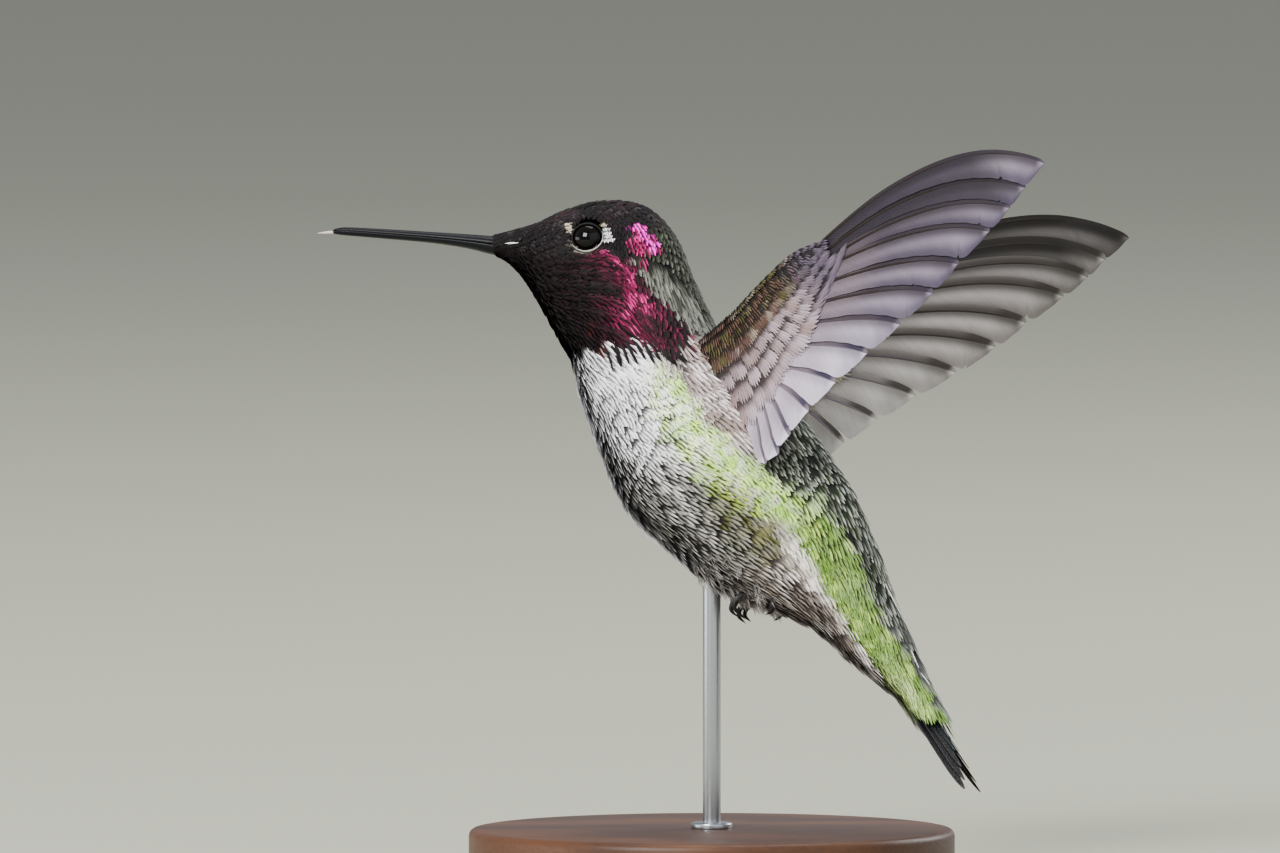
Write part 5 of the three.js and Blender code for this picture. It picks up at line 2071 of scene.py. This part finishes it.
@dataclass
class Coverts:
    """The small feathers over the front of one wing, on both faces.

    A row of large ones has its share of the chord, half width, length and spacing. The turns are the
    degrees from straight back, at shares of the arm's length, that bring coverts in line with the
    flight feathers.
    """

    plane: WingPlane
    seed: int = 70
    turns: tuple[Values, ...] = (
        (0.0, 0.22, 0.3, 0.5, 0.75, 1.0), (-4.0, 10.0, 34.0, 58.0, 70.0, 80.0),
    )
    rows: tuple[Values, ...] = (
        (0.22, 1.0, 3.2, 1.35), (0.36, 1.15, 3.8, 1.55), (0.52, 1.3, 4.4, 1.8), (0.69, 1.45, 5.4, 2.0),
    )
    row_range: Pair = (-0.01, 0.88)

    def build(self, material: Finish) -> Piece:
        """Makes the piece."""
        name = f"coverts_{self.plane.side.word}"
        batches = {name: Batch()}
        for face in (1, -1):
            coat = Coat(WingSleeve(plane=self.plane, face=face), self.seed + face, batches=batches)
            self._small(coat, name)
            for row in self.rows:
                self._row(coat, name, *row)
        return dressed(batches[name].build(name), "wing_coverts", material)

    def _lie(self, surface: WingSleeve, along: Array, across: Array, share: float) -> Array:
        """The turn that brings feathers in line with the flight feathers behind them.

        Args:
            surface: What they lie on.
            along: The share of the chord at each root.
            across: The share of the arm's length there.
            share: How much of the turn they take.

        Returns:
            The turn from the surface's own lie, in radians.
        """
        out, back, _ = self.plane.axes()
        turn = np.radians(np.interp(across, *self.turns) * share)
        wanted = np.sin(turn)[:, None] * out + np.cos(turn)[:, None] * back
        flow, side, _ = surface.lie(along, across)
        return np.arctan2(dot(wanted, side), dot(wanted, flow))

    @staticmethod
    def _at_hand(surface: WingSleeve, across: Array, start: float) -> Array:
        """How much a feather belongs to the hand's upper face, where coverts are short and stand up."""
        return (surface.face > 0) * smooth(across, start, 0.75)

    def _small(self, coat: Coat, name: str) -> None:
        """Lays the small coverts of the front."""
        surface = coat.surface
        rows = Rows(
            surface, (-0.015, 0.3), (-0.02, 1.0), lambda a, b: 0.72 + 0.5 * np.clip(a, 0, 1),
            lambda a, b: 0.95 + 0.4 * np.clip(a, 0, 1), 300,
        )
        along, across = rows.roots()
        rng = np.random.default_rng(self.seed)
        count = len(along)
        size = 1 + 0.35 * smooth(along, 0.1, 0.6)
        short = 1 - 0.4 * self._at_hand(surface, across, 0.55)
        feathers = Feathers(
            along, across, half_width=0.66 * size * rng.uniform(0.9, 1.15, count),
            length=2.0 * size * rng.uniform(0.9, 1.15, count) * short,
            lie=self._lie(surface, along, across, 0.8) + rng.normal(0, 0.1, count),
            lift=0.16 + 0.5 * self._at_hand(surface, across, 0.5),
            depth=0.12 * smooth(along, -0.02, 0.1) + 0.02,
        )
        coat.lay(name, feathers, self._paint(surface, along, across, rng), Cut(barbs=2, fullness=0.85))

    def _row(self, coat: Coat, name: str, along_at: float, half_width: float, length: float,
             spacing: float) -> None:
        """Lays one row of larger coverts.

        Args:
            coat: What they belong to.
            name: The piece.
            along_at: The share of the chord where they stand.
            half_width: Half the width of one.
            length: The length of one.
            spacing: What the distance between them follows.
        """
        surface = coat.surface
        fine = np.linspace(*self.row_range, 400)
        gaps = np.linalg.norm(np.diff(surface.point(np.full(400, along_at), fine), axis=0), axis=1)
        run = np.concatenate([[0], np.cumsum(gaps)])
        across = np.interp(np.arange(0.3, run[-1], spacing * 0.62), run, fine)
        count = len(across)
        rng = np.random.default_rng(self.seed + int(100 * along_at))
        along = along_at + rng.normal(0, 0.015, count)
        half_width = half_width * np.interp(across, [0, 0.7, 1], [1.0, 0.9, 0.7])
        length = length * np.interp(across, [0, 0.5, 1], [0.85, 1, 0.8])
        feathers = Feathers(
            along, across, half_width=half_width * rng.uniform(0.95, 1.05, count),
            length=length * (1 - 0.5 * self._at_hand(surface, across, 0.55)) * rng.uniform(0.95, 1.05, count),
            lie=self._lie(surface, along, across, 0.95) + rng.normal(0, 0.04, count),
            lift=rng.uniform(0.1, 0.2, count) + 0.6 * self._at_hand(surface, across, 0.5),
            depth=np.full(count, -0.05),
        )
        # The large coverts' barbs are painted a little lighter on one edge, a painted side light.
        cut = Cut(
            barbs=4, fullness=1.1, ragged=0.012, sweep=0.7, twist=0.1, variety=0.15, relief=0.35, steps=5,
        )
        coat.lay(name, feathers, self._paint(surface, along, across, rng), cut)

    @staticmethod
    def _paint(surface: WingSleeve, along: Array, across: Array, rng: np.random.Generator) -> Paint:
        """The colours of one face's coverts.

        Args:
            surface: The face.
            along: The share of the chord at each root.
            across: The share of the arm's length there.
            rng: What varies them.

        Returns:
            One row of colours for each feather.
        """
        chance = rng.uniform(0, 1, len(along))
        large, hand = smooth(along, 0.2, 0.4), smooth(across, 0.5, 0.75)
        if surface.face > 0:
            centre, fringe = blended("26331c", "453d33", large), blended("6a7f3e", "7d766a", large)
            return Paint(centre, fringe, 0.45 * (1 - large), np.full(len(along), 0.45))
        centre = blended(blended("1e130e", "5f4e50", large), "2b2530", hand)
        fringe = blended("5a4338", "4f4d2c", smooth(chance, 0.5, 0.6) * 0.8)
        fringe = blended(fringe, "a8968e", smooth(chance, 0.85, 1.0) * 0.6)
        fringe = blended(blended(fringe, blended("b6a5b1", "8f7b7a", chance), large), "584e61", hand * 0.9)
        return Paint(centre, fringe, 0.1 * (1 - large), 0.45 + 0.15 * large)


# ---- Tail ----


@dataclass
class Tail:
    """The ten tail feathers, as one piece."""

    root: Triple = (21.35, 0.0, 22.7)
    direction: Triple = (0.575, 0.0, -0.818)
    roll: float = 6.0
    arch: float = 1.0
    root_half_width: float = 1.3
    spread: float = 0.2
    lengths: Values = (9.6, 11.2, 13.2, 14.8, 15.8)
    rows: int = 56
    columns: Values = (-1.0, -0.8, -0.5, -0.2, -0.06, 0.06, 0.2, 0.5, 0.8, 1.0)
    thickness: float = 0.08
    hidden: float = 1.0
    tip_length: float = 3.2
    overlap: float = 1.15
    stacking: float = 0.11
    side_step: float = 0.04
    droop: float = 0.05
    waviness: float = 0.02
    middle_shaft: str = "b9b6b2"
    other_shafts: str = "100e0d"

    def axes(self) -> tuple[Array, Array, Array]:
        """Along the tail, across it and up out of it."""
        way = unit(np.array(self.direction))
        turn = math.radians(self.roll)
        level = np.array([0.0, 1.0, 0.0])
        side = level * math.cos(turn) + np.cross(way, level) * math.sin(turn)
        return way, side, np.cross(way, side)

    def place(self, along: Array, across: Array, height: Array) -> Array:
        """Points of the tail from lengths along, lengths across and heights off the arch."""
        way, side, up = self.axes()
        share = across / (self.root_half_width + self.spread * along)
        rise = self.arch * (0.5 - share ** 2) + height
        return np.array(self.root) + along[..., None] * way + across[..., None] * side + rise[..., None] * up

    def build(self, material: Finish) -> Piece:
        """Makes the piece."""
        feathers = LongFeathers(2 * len(self.lengths), self.columns, self.thickness)
        for side in Side:
            for number, length in enumerate(self.lengths):
                self._add(feathers, side, number, length)
        names = [f"tail_feather_{side.word}_{count}" for side in Side for count in range(1, 6)]
        return dressed(feathers.batch.build("tail_feathers"), "tail_feathers", material, *names)

    def _add(self, feathers: LongFeathers, side: Side, number: int, length: float) -> None:
        """Adds one feather.

        Args:
            feathers: What it is added to.
            side: Its side.
            number: Which one it is, from the middle outwards.
            length: How much of it shows past the coverts.
        """
        share = 1 - (1 - np.linspace(0, 1, self.rows)) ** 1.5
        along = share * (length + self.hidden) - self.hidden
        slot = (self.root_half_width + self.spread * np.maximum(along, 0)) / len(self.lengths)
        middle = slot[:, None] * (number + 0.35)
        left = np.clip(1 - (1 - share) * (length + self.hidden) / self.tip_length, 0, 1)
        broad = np.interp(share, [0, 0.3, 0.6, 1], [0.75, 1, 0.95, 0.7])
        width = slot * self.overlap * np.sqrt(1 - left ** 2.2) * broad
        reach = np.array(self.columns) * width[:, None]
        stack = self.side_step * (side is Side.RIGHT) - self.stacking * number
        wave = self.waviness * np.sin(along * 0.6 + number)[:, None]
        ridge = stack - self.droop * np.abs(reach) + wave
        strip = number + len(self.lengths) * (side is Side.RIGHT)

        def place(beside: Array, height: Array) -> Array:
            """Points at distances beside the shaft's middle and heights off the arch."""
            run = np.broadcast_to(along[:, None], beside.shape)
            return self.place(run, side.value * (middle + beside), height)

        feathers.add_vane(
            strip, share, reach, along[:, None], self.axes()[2], lambda lift: place(reach, ridge + lift),
            lambda face: self._tint(number, face, reach.shape, length - along),
        )
        shaft = linear(self.middle_shaft if number == 0 else self.other_shafts)
        radius = np.interp(share, [0, 1], [0.16, 0.03])
        feathers.add_shaft(
            strip, share, along, radius, lambda beside, lift: place(beside, stack + lift), shaft,
        )

    def _tint(self, number: int, face: int, shape: tuple[int, int], to_tip: Array) -> Array:
        """The colour of each point of one face.

        Args:
            number: Which feather it is, from the middle outwards.
            face: 1 for the upper face and -1 for the lower one.
            shape: How many points there are along and across.
            to_tip: How far the tip is from each place along.

        Returns:
            A colour for each point.
        """
        colour = np.broadcast_to(linear("07080a" if face > 0 else "0c0b0d"), (*shape, 3))
        edge = "1d4a46" if number < 2 else "4c484e"
        colour = blended(colour, edge, smooth(np.abs(self.columns), 0.75, 1.0) * 0.7)
        return blended(colour, edge, smooth(to_tip, 0.9, 0.2)[:, None] * 0.6)


# ---- Bill and feet ----


@dataclass
class Bill:
    """The bill in two halves, with the tip of the tongue.

    A station gives x, the heights of ridge, gape and underside, and half the width.
    """

    stations: tuple[Values, ...] = (
        (-23.6, 70.75, 69.6, 68.5, 1.2), (-25.85, 70.95, 69.95, 68.9, 1.22),
        (-28.5, 71.12, 70.28, 69.52, 1.04), (-32.5, 71.35, 70.65, 70.1, 0.82),
        (-37.5, 71.62, 71.05, 70.52, 0.66), (-41.8, 71.8, 71.35, 70.85, 0.52),
        (-43.2, 71.66, 71.36, 71.0, 0.36), (-43.68, 71.42, 71.3, 71.14, 0.12),
    )
    squareness: float = 0.85
    gape: float = 0.07
    lower_width: float = 0.96
    tongue: tuple[Triple, ...] = ((-42.6, 0, 71.3), (-43.9, 0, 71.22), (-45.35, 0, 71.12))
    fork: tuple[Triple, ...] = ((-44.9, 0.02, 71.14), (-45.15, 0.08, 71.12), (-45.38, 0.14, 71.12))

    def build(self) -> None:
        """Makes both halves and the tongue."""
        horn = Horn("bill_horn").make()
        for name, sign in (("bill_upper", 1), ("bill_lower", -1)):
            half = formed(f"{name}_horn", (40, 90), lambda turn, run, of=sign: self._half(turn, run, of))
            dressed(half, "bill", horn, name)
        tongue = Tube(self.tongue, (0.16, 0.17, 0.15, 0.02), 10, 12).build("tongue")
        fork = Tube(self.fork, (0.06, 0.05, 0.01), 8, 6).build("fork")
        skin = Plain("tongue_skin", "cdb9b4", 0.1, 0.35).make()
        dressed(joined("tongue", [tongue, fork]), "tongue", skin, "tongue_tip")

    def _half(self, turn: Array, run: Array, sign: int) -> Array:
        """A point of one half: over the outside from side to side, then back flat along the gape.

        Args:
            turn: The share of the way round.
            run: The share of the way along.
            sign: 1 for the upper half and -1 for the lower one.

        Returns:
            The points.
        """
        rows = catmull_rom(np.array(self.stations), run * (len(self.stations) - 1))
        x, ridge, gape, underside, half_width = rows.T
        angle = turn * 2 * math.pi
        depth = np.abs((ridge if sign > 0 else underside) - gape) * np.abs(np.sin(angle)) ** self.squareness
        height = sign * np.maximum(np.where(angle <= math.pi, depth, 0.0), self.gape / 2)
        width = half_width * (1.0 if sign > 0 else self.lower_width)
        return np.stack([x, width * np.cos(angle), gape + height], axis=-1)


@dataclass
class Feet:
    """Two small clenched feet with black claws."""

    centre: Triple = (5.6, 2.9, 30.0)
    size: float = 1.05
    leg_top: Triple = (7.4, 2.7, 31.2)
    toes: tuple[tuple[Triple, ...], ...] = (
        ((0, 0, 0.4), (-1.7, -0.9, 0.5), (-2.5, -1.1, -0.6), (-1.8, -1.1, -1.5)),
        ((0, 0, 0.4), (-2.0, 0, 0.3), (-2.7, 0, -0.9), (-1.9, 0, -1.8)),
        ((0, 0, 0.4), (-1.6, 0.9, 0.4), (-2.2, 1.1, -0.7), (-1.5, 1.1, -1.5)),
        ((0, 0, 0.4), (1.5, 0, -0.1), (1.7, 0, -1.0), (1.0, 0, -1.5)),
    )
    claw_start: int = 7
    leg_radii: Values = (0.5, 0.42, 0.62, 0.05)
    toe_radii: Values = (0.36, 0.36, 0.32, 0.34, 0.36, 0.15)
    claw_radii: Values = (0.27, 0.26, 0.2, 0.12, 0.01)
    toe_helper: Triple = (0.1, 1.0, 0.05)

    def build(self) -> None:
        """Makes both feet."""
        scales = Plain("foot_skin", "161313", 0.3, stretch=(3000.0, 3000.0, 9000.0)).make()
        claw = Horn("claw_horn", "060505", "161414").make()
        for side in Side:
            centre, top = side.mirrored(self.centre), side.mirrored(self.leg_top)
            leg = (top, (top + centre) / 2, centre + (0.2, 0, 0.1))
            skin, claws = [Tube(leg, self.leg_radii).build("leg")], []
            for path in self.toes:
                points = side.mirrored(path) * self.size + centre
                fine = catmull_rom(points, np.linspace(0, len(path) - 1, 13))
                toe = Tube(fine[:self.claw_start + 1], self.toe_radii, 12, 18, self.toe_helper)
                nail = Tube(fine[self.claw_start - 1:], self.claw_radii, 10, 14, self.toe_helper)
                skin.append(toe.build("toe"))
                claws.append(nail.build("claw"))
            dressed(joined(f"foot_{side.word}_skin", skin), "foot", scales, f"foot_{side.word}")
            dressed(joined(f"claws_{side.word}", claws), "foot", claw)


# ---- Stand ----


@dataclass
class Stand:
    """A turned wooden base, a steel rod and the collar that it stands in."""

    base_radius: float = 27.0
    base_height: float = 5.0
    rod_radius: float = 1.0
    rod_low: float = 2.0
    rod_top: float = 40.0
    collar_radius: float = 2.3
    collar_height: float = 0.7
    collar_sunk: float = 0.1

    def build(self) -> None:
        """Makes the three pieces."""
        base = self._disc("stand_base_wood", self.base_radius, 0.0, self.base_height, 0.8, 160)
        dressed(base, "stand_wood", Wood().make(), "stand_base")
        steel = Plain("brushed_steel", "a9adb2", 0.12, 0.24, 1.0, (2600.0, 2600.0, 60.0)).make()
        rod = self._disc("stand_rod_steel", self.rod_radius, self.rod_low, self.rod_top, 0.15, 48)
        dressed(rod, "stand_metal", steel, "stand_rod")
        low, top = self.base_height - self.collar_sunk, self.base_height + self.collar_height
        dressed(self._disc("stand_collar", self.collar_radius, low, top, 0.25, 64), "stand_metal", steel)

    @staticmethod
    def _disc(name: str, radius: float, low: float, top: float, bevel: float, sides: int) -> Piece:
        """An upright round solid with rounded rims, in millimetres.

        Args:
            name: The piece's name.
            radius: Its radius.
            low: The height of its underside.
            top: The height of its top.
            bevel: How wide the rims are rounded.
            sides: How many sides it has.

        Returns:
            The piece.
        """
        cylinder = bpy.ops.mesh.primitive_cylinder_add
        piece = primitive(cylinder, name, vertices=sides, radius=radius * MM, depth=(top - low) * MM)
        move_points(piece, points_of(piece) + (0, 0, (top + low) / 2 * MM))
        modify(piece, "BEVEL", width=bevel * MM, segments=4, limit_method="ANGLE")
        only(piece)
        bpy.ops.object.shade_smooth_by_angle(angle=math.radians(40))
        return piece


# ---- Studio ----


@dataclass
class Studio:
    """The pale floor, the soft lights and the camera.

    A light has its name, its offset from the bird in metres, size, power and colour.
    """

    target: Triple = (-8.43, 0.0, 49.71)
    azimuth: float = 8.7
    elevation: float = 3.0
    distance: float = 3150.0
    frame_width: float = 142.2
    sensor: float = 36.0
    floor_size: float = 24.0
    lights: tuple[tuple[str, Triple, float, float, Triple], ...] = (
        ("key", (-0.4, -1.0, 0.62), 0.5, 27.0, (1.0, 0.985, 0.96)),
        ("front", (-1.1, -0.3, -0.15), 0.7, 9.0, (0.97, 0.985, 1.0)),
        ("fill", (0.85, -0.9, 0.3), 1.4, 6.0, (0.95, 0.975, 1.0)),
        ("top", (0.1, 0.2, 1.1), 0.7, 9.0, (1.0, 1.0, 1.0)),
        ("rim", (0.7, 0.8, 0.5), 0.5, 9.0, (1.0, 0.99, 0.97)),
    )
    air_colour: Triple = (0.86, 0.9, 0.95)
    air_strength: float = 0.5

    def build(self) -> None:
        """Makes all of it."""
        middle = Vector(BANK.place(self.target))
        self._camera(middle)
        self._floor()
        for name, offset, size, power, colour in self.lights:
            lamp = bpy.data.lights.new(name, "AREA")
            lamp.size, lamp.energy, lamp.color = size, power, colour
            light = bpy.data.objects.new(name, lamp)
            light.location = middle + Vector(offset)
            light.rotation_euler = (-Vector(offset)).to_track_quat("-Z", "Y").to_euler()
            bpy.context.scene.collection.objects.link(light)
        world = bpy.data.worlds.new("studio_air")
        world.use_nodes = True
        background = world.node_tree.nodes["Background"]
        background.inputs["Color"].default_value = (*self.air_colour, 1.0)
        background.inputs["Strength"].default_value = self.air_strength
        bpy.context.scene.world = world

    def _camera(self, middle: Vector) -> None:
        """Places the camera, which looks at the middle."""
        a, e = math.radians(self.azimuth), math.radians(self.elevation)
        right = Vector((math.cos(a), math.sin(a), 0))
        back = Vector((math.sin(a) * math.cos(e), -math.cos(a) * math.cos(e), math.sin(e)))
        lens = bpy.data.cameras.new("camera")
        lens.sensor_width = self.sensor
        lens.lens = self.sensor * self.distance / self.frame_width
        lens.clip_start, lens.clip_end = 0.05, 60.0
        camera = bpy.data.objects.new("camera", lens)
        turn = Matrix((right, back.cross(right), back)).transposed().to_4x4()
        camera.matrix_world = Matrix.Translation(middle + back * self.distance * MM) @ turn
        bpy.context.scene.collection.objects.link(camera)
        bpy.context.scene.camera = camera

    def _floor(self) -> None:
        """Lays the floor."""
        floor = primitive(bpy.ops.mesh.primitive_plane_add, "studio_floor", size=self.floor_size)
        nodes = Nodes("pale_floor")
        colour = nodes.mix("a6a795", "acad9d", nodes.noise(1.3, 2.0))
        floor.data.materials.append(nodes.finish(Base_Color=colour, Roughness=0.85))


def main() -> None:
    """Builds the bird and its studio."""
    logging.basicConfig(level=logging.INFO, format="%(name)s %(message)s")
    body = BodyShape()
    markings = Markings(body)
    plumage = Plumage().make()
    Studio().build()
    Skin(body, markings).build(plumage)
    BodyCoat(body, markings).build(plumage)
    Eyes().build()
    Bill().build()
    Feet().build()
    vane = Vane().make()
    for plane in (LEFT_WING, RIGHT_WING):
        FlightFeathers(plane).build(vane)
        Coverts(plane).build(plumage)
    Tail().build(Vane("tail_vane", specular=0.08).make())
    Stand().build()


if __name__ == "__main__":
    main()
